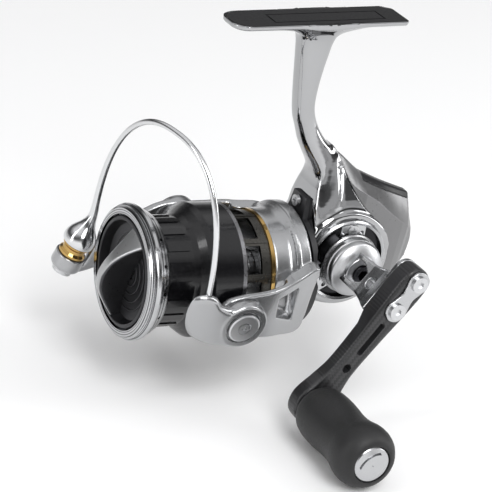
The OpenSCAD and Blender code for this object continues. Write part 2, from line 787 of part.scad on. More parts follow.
module rotor_nut() {
    color("silver") on_rotor() difference() {
        translate([rotor_front - 5, 0, 0]) rotate([0, 90, 0]) cylinder(r = 5.4, h = 2.4, $fn = 6);
        tube_x(-30, 0, pinion_front);
    }
}

module pinion_gear() {
    color("goldenrod") on_rotor() {
        tube_x(rotor_front - 6, rotor_front - 2.6, pinion_front, pinion_bore);
        tube_x(rotor_front - 2.6, 9.8, pinion_body, pinion_bore);
        tube_x(9.8, bush_back + 0.6, pinion_root, pinion_bore);
        rotate([-rotor_turn, 0, 0]) for (k = [0 : pinion_teeth - 1])
            rotate([(k + 0.5) * 360 / pinion_teeth, 0, 0]) translate([9.6, 0, 0]) rotate([90, 0, 90])
                linear_extrude(5.6) polygon([[pinion_root - 0.2, -0.42], [pinion_tip, -0.2],
                    [pinion_tip, 0.2], [pinion_root - 0.2, 0.42]]);
    }
}

module clutch_sleeve() {
    color("silver") on_rotor() tube_x(rotor_front + 1.4, 6, sleeve_out, pinion_body);
}

module clutch_race() {
    color("#77797c") works() tube_x(-2.6, 5, race_out, race_in);
}

module clutch_rollers() {
    color("silver") works() for (k = [0 : 7]) rotate([k * 45, 0, 0])
        translate([0, 0, race_in - roller_size]) tube_x(-2, 4, roller_size);
}

module pinion_bearings() {
    color("silver") works() {
        tube_x(body_front - 1, body_front + 1.6, bearing_out, pinion_body + run);
        tube_x(bush_front, bush_back, bush_out, pinion_root + run);
    }
}

module pivot_screws() {
    color("silver") on_bail() for (m = [0, 1]) mirror([0, m, 0]) translate([0, lever_out, 0])
        rotate([-90, 0, 0]) difference() {
            union() {
                translate([0, 0, -3]) cylinder(r = 1, h = 3.1);
                cylinder(r = 1.9, h = 0.6);
            }
            translate([0, 0, 0.6]) cross_head(0.4);
        }
}

// caps that keep the bail's levers on the rotor's pins
module pivot_caps() {
    color("silver") on_bail() for (m = [0, 1]) mirror([0, m, 0]) translate([0, lever_out, 0])
        rotate([-90, 0, 0]) difference() {
            rotate_extrude() polygon([[1, -0.4], [pivot_cap, -0.4], [pivot_cap, 0.3],
                [pivot_cap - 0.5, 0.6], [2.3, 0.6], [2.3, 0], [1, 0]]);
        }
}

// ---------------------------------------------------------------- bail

// a lever's bore for the rotor's pin and the well for the cap, cut out along +Y
module pivot_room() {
    rotate([-90, 0, 0]) {
        cylinder(r = pivot_pin + run, h = 50);
        translate([0, 0, lever_out - well_depth]) cylinder(r = well_radius, h = 3);
    }
}

module wire_frame() {
    translate(wire_near) rotate([0, 0, wire_turn]) rotate([-wire_drop, 0, 0]) children();
}

module near_bail_arm() {
    color("#c9cbce") on_bail() difference() {
        mirror([0, 1, 0]) difference() {
            union() {
                slab(lever_in, lever_out) circle(r = boss_radius);
                slab(lever_in, lever_out) polygon([[-1.4, -8], [-12.5, -5.9], [-17, -3.6], [-19.8, 0],
                    [-20.6, 6], [-19.6, 10.6], [-16, 11.8], [-12, 11], [-9.6, 8.2], [-6, 6.4], [-1.4, 8],
                    [4, 0]]);
            }
            pivot_room();
        }
        wire_frame() translate([0, 0, -wire_root]) cylinder(r = wire_size / 2, h = 20);
    }
}

// the lever on the other side, with the disc that carries the line roller
module far_bail_arm() {
    color("#c9cbce") on_bail() difference() {
        union() {
            slab(lever_in, lever_in + far_thick) polygon([[-4, -4], [-2, -6.9], [-12, -10.6], [-22, -18.2],
                [-29.6, -21.2], [-35, -19.6], [-36, -17.6], [-29.4, -18.2], [-26.6, -9], [-20, -2.4],
                [-10, 5.4], [-2, 6.9], [4, 0]]);
            slab(lever_in, lever_out) circle(r = hub_far);
            roller_frame() translate([0, 0, seat_low])
                cylinder(r = roller_radius + 0.6, h = seat_top - seat_low);
        }
        pivot_room();
        roller_frame() translate([0, 0, -9]) cylinder(r = bolt_radius, h = 12);
        roller_frame() translate([0, 0, seat_low - 3]) cylinder(r = bolt_head + 0.1, h = 3);
        roller_frame() translate([0, 0, seat_top]) cylinder(r = roller_radius + 1.2, h = 12);
    }
}

// frame of the line roller: z runs up its pin to the cone
module roller_frame() { translate(roller_at) rotate([0, roller_lean, 0]) children(); }

module bail_wire() {
    w = wire_size / 2;
    color("gainsboro") on_bail() wire_frame() {
        translate([0, 0, -wire_root]) cylinder(r = w, h = wire_root + leg_height - joint);
        translate([0, 2 * bow_radius, 0]) cylinder(r = w, h = leg_height - joint);
        for (y = [0, 2 * bow_radius]) translate([0, y, leg_height]) sphere(r = w + 0.02);
        translate([0, bow_radius, leg_height]) rotate([90, 0, 90]) rotate([0, 0, 0.2])
            rotate_extrude(angle = 179.6) translate([bow_radius, 0]) circle(r = w);
    }
}

module roller_cone() {
    r = roller_radius + 1;
    color("gainsboro") on_bail() difference() {
        union() {
            roller_frame() rotate_extrude() polygon([[bolt_radius, cone_low], [r, cone_low], [r, 4.2],
                [4.6, 5.6], [3, 7.4], [1.9, 9.6], [1.4, 12.4], [1.2, 14.4], [0, 14.4], [0, 5],
                [bolt_radius, 5]]);
            translate(wire_far) sphere(r = wire_size / 2 + 0.5);
        }
        wire_frame() translate([0, 2 * bow_radius, 0]) cylinder(r = wire_size / 2, h = 9);
    }
}

module roller_bolt() {
    color("silver") on_bail() roller_frame() {
        translate([0, 0, seat_low - 0.4]) cylinder(r = bolt_radius, h = 5 + 0.4 - seat_low);
        translate([0, 0, seat_low - 1.4]) cylinder(r = bolt_head, h = 1.4);
    }
}

module line_roller() {
    r = roller_radius;
    b = bolt_radius + run;
    color("#b08d3c") on_bail() roller_frame() rotate_extrude() polygon([[b, roller_low], [r, roller_low],
        [r, roller_low + 0.7], [r - 0.7, roller_low + 1.5], [r - 0.7, roller_top - 1.3],
        [r, roller_top - 0.5], [r, roller_top], [b, roller_top]]);
}

// ---------------------------------------------------------------- shaft, slider and spool

module main_shaft() {
    color("silver") works() {
        tube_x(-48.4, web_back + gap, shaft_thick);
        tube_x(web_back + gap, slider_x + slider_long - 1, shaft_slim);
    }
}

// block on the shaft's end: the cam gear's pin drives it by the upright groove in its far face
module slider() {
    color("#8a8c90") works() difference() {
        union() {
            translate([slider_x, -slider_near, -2.8])
                cube([slider_long, slider_near + slider_far, slider_top + 2.8]);
            translate([slider_x, -slider_near, slider_low])
                cube([rod_long, slider_near + slider_far, 3]);
        }
        tube_x(0, slider_x + slider_long - 1, shaft_slim);
        translate([0, 0, rod_z]) tube_x(0, 60, rod_radius + run);
        translate([groove_x - crank_pin - 0.1, slider_far - 1.1, -2.2])
            cube([2 * crank_pin + 0.2, 3, slider_top + 4]);
        translate([slider_x + rod_long + 1.5, 0, -3]) cylinder(r = 0.8, h = 1.7);
    }
}

module slider_screw() {
    color("silver") works() translate([slider_x + rod_long + 1.5, 0, -2.6]) cylinder(r = 0.8, h = 1.3);
}

module guide_rod() {
    color("silver") works() translate([0, 0, rod_z]) tube_x(24.4, rod_end, rod_radius);
}

module click_wheel() {
    color("#3a3b3e") works() {
        tube_x(web_back + gap, web_back + gap + 1.4, 6.6, shaft_slim);
        for (k = [0 : 19]) rotate([k * 18, 0, 0])
            translate([web_back + gap, -0.5, 6.2]) cube([1.4, 1, 1.1]);
    }
}

module spool_lip() {
    r = lip_radius;
    color("gainsboro") works() difference() {
        spin_x() polygon([[18.7, lip_front], [20.4, lip_front], [21.2, lip_front + 0.6],
            [20.8, lip_front + 0.9],
            [21.5, lip_front + 1.3], [21.2, lip_front + 1.7], [r, lip_front + 2.3], [r, lip_step],
            [19.7, lip_back], [pocket_radius, lip_back], [pocket_radius, knob_floor], [18.7, knob_floor]]);
        for (k = [0 : lip_holes - 1]) rotate([(k + 0.5) * 360 / lip_holes, 0, 0])
            translate([-46.7, 0, 17]) cylinder(r = 0.6, h = 8, $fn = 20);
    }
}

module spool_arbor() {
    a = arbor_radius;
    s = skirt_radius;
    color("#131417") works() spin_x() polygon([[a, lip_back], [a, -34.6], [a + 1.1, -33], [s - 1.2, -30.9],
        [s, flange_edge], [s, skirt_end], [s - skirt_wall, skirt_end], [s - skirt_wall, -28],
        [a - 0.6, web_back],
        [shaft_thick + run, web_back], [shaft_thick + run, web_front], [pocket_radius, web_front],
        [pocket_radius, lip_back]]);
}

module spool_rim() {
    color("#8e9093") works() tube_x(skirt_end, rim_end, skirt_radius, skirt_radius - skirt_wall);
}

module drag_washers() {
    color("#3c3d40") works() for (k = [0 : 4])
        tube_x(web_front - 0.9 * (k + 1), web_front - 0.9 * k, k % 2 == 0 ? 13 : 12.3, 2.7);
}

module drag_retainer() {
    color("silver") works() tube_x(-43.6, -42.9, pocket_radius, 13.5);
}

module drag_knob() {
    r = drag_radius;
    color("#3d3e42") works() difference() {
        spin_x() polygon([[shaft_thick + 0.4, dish_floor], [dish_radius, dish_floor],
            [dish_mouth, lip_front], [r - 0.4, lip_front], [r, lip_front + 0.5], [r, -47.5],
            [9.6, -47.5], [9.6, -43.1], [shaft_thick + 0.4, -43.1]]);
        translate([-45.6, 0, 0]) rotate([0, 90, 0]) cylinder(r = 5.2, h = 3, $fn = 6);
    }
}

// grip bar across the knob, arched from rim to rim and drawn in at its middle
module drag_bar() {
    r = dish_mouth;
    h = bar_height;
    side = [[5.6, r], [4.3, 0.82 * r], [2.9, 0.6 * r], [2.1, 0.36 * r], [1.9, 0]];
    crest = [[0, 0], [0.22 * h, 0.14 * r], [0.58 * h, 0.4 * r], [0.86 * h, 0.68 * r], [h, r]];
    color("#8f9195") works() rotate([bar_turn, 0, 0]) intersection() {
        slab(-7, 7) polygon(concat([for (p = crest) [lip_front - p[0], -r + p[1]]],
            [for (i = [3 : -1 : 0]) [lip_front - crest[i][0], r - crest[i][1]]],
            [[dish_floor, r], [dish_floor, -r]]));
        front_slab(-62, dish_floor) polygon(concat(side, [for (i = [3 : -1 : 0]) [side[i][0], -side[i][1]]],
            [for (p = side) [-p[0], -p[1]]], [for (i = [3 : -1 : 0]) [-side[i][0], side[i][1]]]));
        spin_x() polygon([[0, -70], [dish_mouth, -70], [dish_mouth, lip_front], [dish_radius, dish_floor],
            [0, dish_floor]]);
    }
}

module drag_nut() {
    color("silver") works() difference() {
        translate([-45.6, 0, 0]) rotate([0, 90, 0]) cylinder(r = 5.2, h = 2.4, $fn = 6);
        tube_x(-60, 0, shaft_thick + run);
    }
}

// ---------------------------------------------------------------- what is drawn

body_frame();
foot_pad();
side_plate();
bearing_retainer();
plate_screws();
rear_guard();
guard_trim();
front_cover();
cover_screw();
far_cap();
drive_bearings();
pinion_bearings();
clutch_race();
clutch_rollers();
guide_rod();
drive_gear();
drive_shaft();
hub_ring();
hub_cap();
handle_screw();
crank_yoke();
crank_arm();
arm_plate();
arm_screws();
knob_spindle();
knob_grip();
knob_cap();
knob_bearings();
cam_gear();
rotor_frame();
rotor_drum();
rotor_ring();
rotor_nut();
pinion_gear();
clutch_sleeve();
pivot_screws();
near_bail_arm();
far_bail_arm();
bail_wire();
roller_cone();
roller_bolt();
pivot_caps();
line_roller();
main_shaft();
slider();
slider_screw();
click_wheel();
spool_lip();
spool_arbor();
spool_rim();
drag_washers();
drag_retainer();
drag_knob();
drag_bar();
drag_nut();
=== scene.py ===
# %% [markdown]
# # A spinning reel
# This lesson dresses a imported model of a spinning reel: a foot that clamps on a rod, a chromed
# body with its gears, a spool with its drag knob, a rotor with the wire bail that lays the line
# on, and a crank with a foam grip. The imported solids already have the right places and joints.
# The lesson adds the cast, turned, anodised and woven surfaces, and leaves the joints alone.

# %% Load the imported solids
import bpy
import bmesh
import math
import numpy as np
from mathutils import Matrix, Vector


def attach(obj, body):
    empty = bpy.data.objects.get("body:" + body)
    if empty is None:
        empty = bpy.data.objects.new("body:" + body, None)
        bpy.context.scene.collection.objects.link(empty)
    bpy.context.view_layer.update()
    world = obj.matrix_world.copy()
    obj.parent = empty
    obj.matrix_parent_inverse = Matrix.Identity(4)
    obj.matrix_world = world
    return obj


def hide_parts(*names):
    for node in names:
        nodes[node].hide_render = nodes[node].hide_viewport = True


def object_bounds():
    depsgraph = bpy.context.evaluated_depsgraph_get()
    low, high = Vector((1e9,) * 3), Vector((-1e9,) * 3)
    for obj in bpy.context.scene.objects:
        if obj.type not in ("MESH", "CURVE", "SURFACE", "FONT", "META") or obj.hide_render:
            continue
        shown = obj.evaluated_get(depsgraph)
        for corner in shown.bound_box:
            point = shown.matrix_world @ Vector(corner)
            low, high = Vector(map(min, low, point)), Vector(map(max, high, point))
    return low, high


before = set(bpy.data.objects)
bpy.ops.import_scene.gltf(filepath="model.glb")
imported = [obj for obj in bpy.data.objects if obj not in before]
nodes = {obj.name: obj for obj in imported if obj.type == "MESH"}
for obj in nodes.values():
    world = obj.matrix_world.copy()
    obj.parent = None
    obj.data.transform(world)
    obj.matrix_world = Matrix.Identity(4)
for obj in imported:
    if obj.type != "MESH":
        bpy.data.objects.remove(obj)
solid_low, solid_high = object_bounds()

# %% [markdown]
# ## Frames
# Each piece is easiest to describe in its own frame, in millimetres: the spool's shaft is the
# X axis of the works, the rotor is the works turned a little, and the crank hangs from the
# drive axis. A matrix takes each frame to the row's frame, where the foot's seat is at height 0.

# %% Frames of the pieces
def shift(x, y, z):
    return Matrix.Translation((x, y, z))

def turn(degrees, axis):
    return Matrix.Rotation(math.radians(degrees), 4, axis)

TILT = 2.6                      # lean of the shaft, degrees
DROP = 87.2                     # from the seat down to the shaft
DRIVE_X, DRIVE_Z = 23, 7        # the crank's axis in the works
CAM_X, CAM_Z = 35, 4            # the oscillating gear's axis
ROD_DROP = 3.6                  # the guide rod lies this far under the shaft
PIVOT_AHEAD = 21.1              # from the rotor's origin forward to the bail's pins
CRANK_LONG = 41                 # from the drive axis to the knob's
ROLLER_LEAN = 14                # the line roller's axis leans forward
ROLLER_AT = (-34, 27, -12)      # its place in the bail's frame
ROW = Matrix.Identity(4)
WORKS = turn(TILT, "Y") @ shift(0, 0, -DROP)
ROTOR = WORKS @ turn(12.8, "X")
BAIL = ROTOR @ shift(-PIVOT_AHEAD, 0, 0)
DRIVE = WORKS @ shift(DRIVE_X, 0, DRIVE_Z)
CRANK = DRIVE @ turn(33.7, "Y")
KNOB = CRANK @ shift(0, 0, -CRANK_LONG)
print("crank's axis in the row, mm:", [round(v, 1) for v in DRIVE.translation])

# %% [markdown]
# ## Making a mesh from points
# Every finished piece keeps its object at the origin, so its points are moved into place
# before the mesh is made. Small helpers turn an outline into a smooth curve, spin a profile
# round an axis, and run a round section along a path.

# %% Points to a mesh in its place
def add_object(name, data):
    thing = bpy.data.objects.new(name, data)
    bpy.context.scene.collection.objects.link(thing)
    return thing

def add_smooth(name, mesh, sharp):
    """an object from a mesh, shaded smooth but for edges sharper than an angle"""
    mesh.shade_smooth()
    mesh.set_sharp_from_angle(angle=math.radians(sharp))
    print(name, len(mesh.polygons), "faces")
    return add_object(name, mesh)

def build_piece(name, points, faces, place, sharp=38):
    m = np.array(place)
    world = (np.asarray(points, float) @ m[:3, :3].T + m[:3, 3]) * 0.001
    mesh = bpy.data.meshes.new(name)
    mesh.from_pydata(world.tolist(), [], [list(map(int, f)) for f in faces])
    mesh.validate()
    bm = bmesh.new()
    bm.from_mesh(mesh)
    bmesh.ops.remove_doubles(bm, verts=bm.verts, dist=1e-7)
    bmesh.ops.recalc_face_normals(bm, faces=bm.faces)
    bm.to_mesh(mesh)
    bm.free()
    return add_smooth(name, mesh, sharp)

def dress(piece, body, slot, *stands_for, finish=None):
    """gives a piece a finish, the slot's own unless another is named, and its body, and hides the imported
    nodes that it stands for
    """
    piece.data.materials.clear()
    piece.data.materials.append(FINISH[finish or slot])
    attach(piece, body)
    if stands_for:
        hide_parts(*stands_for)
    return piece

# %% Smooth curves through a few points
def curve_through(points, steps=6, closed=False):
    p = np.asarray(points, float)
    n = len(p)
    out = []
    for i in range(n if closed else n - 1):
        if closed:
            a, b, c, d = p[i - 1], p[i], p[(i + 1) % n], p[(i + 2) % n]
        else:
            a, b, c, d = p[max(i - 1, 0)], p[i], p[i + 1], p[min(i + 2, n - 1)]
        for k in range(steps):
            t = k / steps
            out.append(0.5 * (2 * b + (c - a) * t + (2 * a - 5 * b + 4 * c - d) * t * t
                              + (3 * b - a - 3 * c + d) * t ** 3))
    if not closed:
        out.append(p[-1])
    return np.array(out)

def ring_faces(rows, sides):
    """the faces between rings of points that follow one another"""
    faces = []
    for row in range(0, (rows - 1) * sides, sides):
        for j in range(sides):
            k = (j + 1) % sides
            faces.append((row + j, row + k, row + sides + k, row + sides + j))
    return faces

def spin(profile, axis, sides=96):
    """profile: (radius, distance along the axis) from one end to the other"""
    r, d = np.asarray(profile, float).T
    a = np.arange(sides) * 2 * math.pi / sides
    ring = np.stack([np.outer(r, np.cos(a)), np.outer(r, np.sin(a)), np.outer(d, np.ones(sides))], -1)
    order = {"X": (2, 0, 1), "Y": (1, 2, 0), "Z": (0, 1, 2)}[axis]
    points = ring[..., order].reshape(-1, 3)
    if axis == "Y":
        points[:, 1] *= -1
    return points, ring_faces(len(r), sides)

def run_along(path, radii, sides):
    """a round section along a path, closed at both ends"""
    path = np.asarray(path, float)
    radii = np.broadcast_to(radii, len(path))
    along = np.gradient(path, axis=0)
    along /= np.linalg.norm(along, axis=1)[:, None]
    side = np.cross(along[0], (0.3, 0.2, 1.0))
    points = []
    for centre, t, r in zip(path, along, radii):
        side = side - t * (side @ t)
        side /= np.linalg.norm(side)
        up = np.cross(t, side)
        for k in range(sides):
            a = 2 * math.pi * k / sides
            points.append(centre + r * (side * math.cos(a) + up * math.sin(a)))
    caps = [tuple(range(sides))[::-1], tuple(range((len(path) - 1) * sides, len(path) * sides))]
    return np.array(points), ring_faces(len(path), sides) + caps

# %% [markdown]
# ## Cast shapes from distances
# A casting has no sharp inside corner: each part of it flows into the next. The easiest way to
# get that is a distance field. Each simple form gives the distance to its surface, the forms
# are joined with a soft minimum that leaves a fillet, and a net of faces is laid on the zero
# surface, with every point slid onto it at the end.

# %% Distance fields
def soft_min(a, b, k):
    h = np.maximum(k - np.abs(a - b), 0) / k
    return np.minimum(a, b) - h * h * k / 4

def soft_max(a, b, k):
    return -soft_min(-a, -b, k)

def flat_shape(outline):
    p = np.asarray(outline, float)
    q = np.roll(p, -1, 0)
    def distance(u, v):
        near = np.full(np.broadcast(u, v).shape, 1e9)
        inside = np.zeros(near.shape, bool)
        for (ax, ay), (bx, by) in zip(p, q):
            ex, ey = bx - ax, by - ay
            wx, wy = u - ax, v - ay
            t = np.clip((wx * ex + wy * ey) / (ex * ex + ey * ey + 1e-12), 0, 1)
            near = np.minimum(near, (wx - ex * t) ** 2 + (wy - ey * t) ** 2)
            if ay != by:
                inside ^= ((ay > v) != (by > v)) & (u < ax + (v - ay) * ex / ey)
        return np.where(inside, -1, 1) * np.sqrt(near)
    return distance

def thick(flat, depth, low, high, edge):
    """a flat shape given thickness from low to high, its edges rounded to a radius"""
    a = flat + edge
    b = np.abs(depth - (low + high) / 2) - (high - low) / 2 + edge
    return np.minimum(np.maximum(a, b), 0) + np.hypot(np.maximum(a, 0), np.maximum(b, 0)) - edge

def rod_along(u, v, radius, depth, low, high, edge=0.3):
    return thick(np.hypot(u, v) - radius, depth, low, high, edge)

def block(x, y, z, middle, half):
    """a box from the middle and half size along each axis"""
    a, b, c = (np.abs(v - m) - h for v, m, h in zip((x, y, z), middle, half))
    return np.maximum(np.maximum(a, b), c)

def carve(shape, *tools):
    for tool in tools:
        shape = np.maximum(shape, -tool)
    return shape

def round_ends(outline, steps):
    """a flat shape whose outline is a smooth closed curve through the points"""
    return flat_shape(curve_through(outline, steps, closed=True))

def both_sides(top, left, bottom):
    """a closed outline from its left half, which the right half mirrors"""
    return [top, *left, bottom, *[(-x, y) for x, y in reversed(left)]]

# %% A net of faces on the zero surface
def lay_net(field, low, high, step):
    axes = [np.arange(low[i] - step, high[i] + 2 * step, step) for i in range(3)]
    value = field(*np.meshgrid(*axes, indexing="ij", sparse=True))
    value = np.where(np.abs(value) < 1e-9, 1e-9, value)
    inside = value < 0
    cells = tuple(n - 1 for n in value.shape)
    total = np.zeros(cells + (3,), np.float32)
    count = np.zeros(cells, np.int32)
    for axis in range(3):
        others = [a for a in range(3) if a != axis]
        for p in (0, 1):
            for q in (0, 1):
                cut = [slice(None)] * 3
                cut[others[0]] = slice(p, value.shape[others[0]] - 1 + p)
                cut[others[1]] = slice(q, value.shape[others[1]] - 1 + q)
                first, second = list(cut), list(cut)
                first[axis], second[axis] = slice(0, -1), slice(1, None)
                a, b = value[tuple(first)], value[tuple(second)]
                hit = (a < 0) != (b < 0)
                where = np.where(hit, a / np.where(hit, a - b, 1), 0)
                count += hit
                total[..., axis] += where
                total[..., others[0]] += hit * p
                total[..., others[1]] += hit * q
    active = count > 0
    index = np.full(cells, -1)
    index[active] = np.arange(active.sum())
    points = total[active] / count[active][:, None] + np.argwhere(active)
    points = points * step + np.array([a[0] for a in axes])
    quads = []
    for axis in range(3):
        b, c = [(1, 2), (2, 0), (0, 1)][axis]
        first, second = [slice(1, -1)] * 3, [slice(1, -1)] * 3
        first[axis], second[axis] = slice(0, -1), slice(1, None)
        flips = inside[tuple(first)] != inside[tuple(second)]
        at = np.argwhere(flips) + 1
        at[:, axis] -= 1
        outward = inside[tuple(at.T)]
        corner = []
        for db, dc in ((1, 1), (0, 1), (0, 0), (1, 0)):
            cell = at.copy()
            cell[:, b] -= db
            cell[:, c] -= dc
            corner.append(index[tuple(cell.T)])
        quad = np.stack(corner, 1)
        quad[~outward] = quad[~outward][:, ::-1]
        quads.append(quad)
    for _ in range(2):
        f, g = field(*points.T), slope_of(field, points, step * 0.1)
        move = f[:, None] * g / np.maximum((g ** 2).sum(1), 0.2)[:, None]
        points = points - np.clip(move, -0.3 * step, 0.3 * step)
    return points, np.concatenate(quads)

def slope_of(field, points, h):
    """the field's gradient: it points straight out of the surface"""
    x, y, z = points.T
    return np.stack([field(x + h, y, z) - field(x - h, y, z), field(x, y + h, z) - field(x, y - h, z),
                     field(x, y, z + h) - field(x, y, z - h)], 1) / (2 * h)

def cast_piece(name, field, low, high, step, place, sharp=50):
    """a net on the zero surface, shaded with the field's own normals wherever a face is nearly flush"""
    flush = math.cos(math.radians(28))
    points, faces = lay_net(field, low, high, step)
    piece = build_piece(name, points, faces, place, sharp)
    mesh, m = piece.data, np.array(place)
    spots = np.empty(len(mesh.vertices) * 3, np.float32)
    mesh.vertices.foreach_get("co", spots)
    back = np.linalg.inv(m)
    slope = slope_of(field, spots.reshape(-1, 3) * 1000.0 @ back[:3, :3].T + back[:3, 3], step * 0.15)
    slope = slope / np.maximum(np.linalg.norm(slope, axis=1), 1e-6)[:, None] @ m[:3, :3].T
    at = np.empty(len(mesh.loops), np.int32)
    mesh.loops.foreach_get("vertex_index", at)
    flat = np.empty(len(mesh.polygons) * 3, np.float32)
    mesh.polygons.foreach_get("normal", flat)
    sizes = np.empty(len(mesh.polygons), np.int32)
    mesh.polygons.foreach_get("loop_total", sizes)
    flat = np.repeat(flat.reshape(-1, 3), sizes, 0)
    own = slope[at]
    own[(own * flat).sum(1) < flush] = 0
    mesh.normals_split_custom_set(own.tolist())
    return piece

# %% [markdown]
# ## Camera, floor and light
# A long lens from the front left and above, turned a little. The light is a broad soft studio:
# a bright sky with a darker belt in it, because polished metal only looks like metal when it
# has something dark to reflect, and three soft lamps.

# %% Camera
RIGHT = Vector((0.88151, -0.44993, 0.14321)).normalized()
BACK = Vector((-0.46629, -0.78181, 0.41394)).normalized()
UP = BACK.cross(RIGHT).normalized()
AIM = Vector((-11.861, 0.0, -79.191)) * 0.001
AWAY = 0.780035       # metres from the aim to the camera
LENS = 175.6          # millimetres on a 36 mm sensor
camera_data = bpy.data.cameras.new("camera")
camera_data.sensor_width = 36
camera_data.lens = LENS
camera = add_object("camera", camera_data)
look = Matrix((RIGHT, UP, BACK)).transposed().to_4x4()
look.translation = AIM + BACK * AWAY
camera.matrix_world = look
camera_data.clip_start, camera_data.clip_end = 0.05, 20
bpy.context.scene.camera = camera
bpy.context.scene.view_settings.view_transform = "Standard"
print("camera at", [round(v, 3) for v in look.translation])

# %% Node helper
def add_node(tree, kind, inputs=(), **settings):
    node = tree.nodes.new(kind)
    for key, value in settings.items():
        setattr(node, key, value)
    for key, value in dict(inputs).items():
        if isinstance(value, bpy.types.NodeSocket):
            tree.links.new(value, node.inputs[key])
        else:
            node.inputs[key].default_value = value
    return node

def maths(tree, operation, *values):
    return add_node(tree, "ShaderNodeMath", dict(enumerate(values)), operation=operation).outputs[0]

def dot(tree, a, b):
    return add_node(tree, "ShaderNodeVectorMath", {0: a, 1: b}, operation="DOT_PRODUCT").outputs["Value"]

def add_relief(tree, height, depth, strength=1.0):
    """small bumps on the shader of a finish, depth in metres"""
    bump = add_node(tree, "ShaderNodeBump", {"Height": height, "Strength": strength, "Distance": depth})
    tree.links.new(bump.outputs["Normal"], tree.nodes["Principled BSDF"].inputs["Normal"])

# %% Studio sky
world = bpy.data.worlds.new("studio")
bpy.context.scene.world = world
world.use_nodes = True
sky = world.node_tree
sky.nodes.clear()
direction = add_node(sky, "ShaderNodeTexCoord")
split = add_node(sky, "ShaderNodeSeparateXYZ", {"Vector": direction.outputs["Generated"]})
ramp = add_node(sky, "ShaderNodeValToRGB", {"Fac": split.outputs["Z"]})
stops = [(0.0, 0.85), (0.1, 0.85), (0.17, 0.16), (0.42, 0.07), (0.58, 0.5), (0.7, 1.05), (1.0, 1.05)]
band = ramp.color_ramp
band.interpolation = "EASE"
while len(band.elements) < len(stops):
    band.elements.new(0.5)
for element, (place, level) in zip(band.elements, stops):
    element.position = place
    element.color = (level, level, level * 1.01, 1)
light = add_node(sky, "ShaderNodeBackground", {"Color": ramp.outputs["Color"], "Strength": 0.8})
add_node(sky, "ShaderNodeOutputWorld", {"Surface": light.outputs[0]})

# %% Lamps
LAMPS_AIM = Vector((0, 0, -0.08))

def soft_lamp(name, place, size, power):
    data = bpy.data.lights.new(name, "AREA")
    data.shape = "RECTANGLE"
    data.size, data.size_y = size
    data.energy = power
    lamp = add_object(name, data)
    lamp.location = place
    lamp.rotation_euler = (LAMPS_AIM - Vector(place)).to_track_quat("-Z", "Y").to_euler()

soft_lamp("key", (-0.1, -0.9, 0.75), (0.5, 0.9), 9)
soft_lamp("side", (0.9, -0.35, 0.35), (0.35, 0.9), 4)
soft_lamp("front", (-0.95, -0.1, 0.3), (0.16, 0.9), 2.5)

# %% Floor
floor_mesh = bpy.data.meshes.new("floor")
low, reach = solid_low.z - 0.0005, 6
corners = [(-reach, -reach), (reach, -reach), (reach, reach), (-reach, reach)]
floor_mesh.from_pydata([(x, y, low) for x, y in corners], [], [(0, 1, 2, 3)])
floor = add_object("floor", floor_mesh)
floor_finish = bpy.data.materials.new("pale_floor")
floor_finish.use_nodes = True
floor_shader = floor_finish.node_tree.nodes["Principled BSDF"]
floor_shader.inputs["Base Color"].default_value = (0.96, 0.96, 0.96, 1)
floor_shader.inputs["Roughness"].default_value = 0.9
floor_mesh.materials.append(floor_finish)

# %% [markdown]
# ## Finishes
# Each finish starts from its colour, shine and roughness, and gets the small unevenness of the
# real process from noise on the object's own coordinates: turning marks run in rings round an
# axis, paint has a fine orange peel, foam has pores, and carbon cloth has a twill. Everything is
# read from the object's own space, so that a finish stays with its piece when a joint moves.

# %% One starting point for all finishes
def start_finish(name, colour, metallic, rough, coat=0.0, mottle=0.06, grain=900.0, uneven=0.06,
                 bump=0.0, bump_grain=2500.0):
    finish = bpy.data.materials.new(name)
    finish.use_nodes = True
    tree = finish.node_tree
    shader = tree.nodes["Principled BSDF"]
    shader.inputs["Metallic"].default_value = metallic
    shader.inputs["Coat Weight"].default_value = coat
    shader.inputs["Coat Roughness"].default_value = 0.08
    place = add_node(tree, "ShaderNodeTexCoord")
    cloud = add_node(tree, "ShaderNodeTexNoise", {"Vector": place.outputs["Object"], "Scale": grain,
                                                  "Detail": 4.0, "Roughness": 0.6})
    tint = add_node(tree, "ShaderNodeMix", {"Factor": cloud.outputs["Fac"]}, data_type="RGBA")
    tint.inputs["A"].default_value = (*[c * (1 - mottle) for c in colour], 1)
    tint.inputs["B"].default_value = (*[min(c * (1 + mottle), 1) for c in colour], 1)
    tree.links.new(tint.outputs["Result"], shader.inputs["Base Color"])
    dull = add_node(tree, "ShaderNodeMapRange", {"Value": cloud.outputs["Fac"], "From Min": 0.3,
                    "From Max": 0.7, "To Min": max(rough - uneven, 0.02), "To Max": rough + uneven})
    tree.links.new(dull.outputs["Result"], shader.inputs["Roughness"])
    if bump:
        pits = add_node(tree, "ShaderNodeTexNoise", {"Vector": place.outputs["Object"],
                                                     "Scale": bump_grain, "Detail": 2.0})
        add_relief(tree, pits.outputs["Fac"], bump)
    return finish

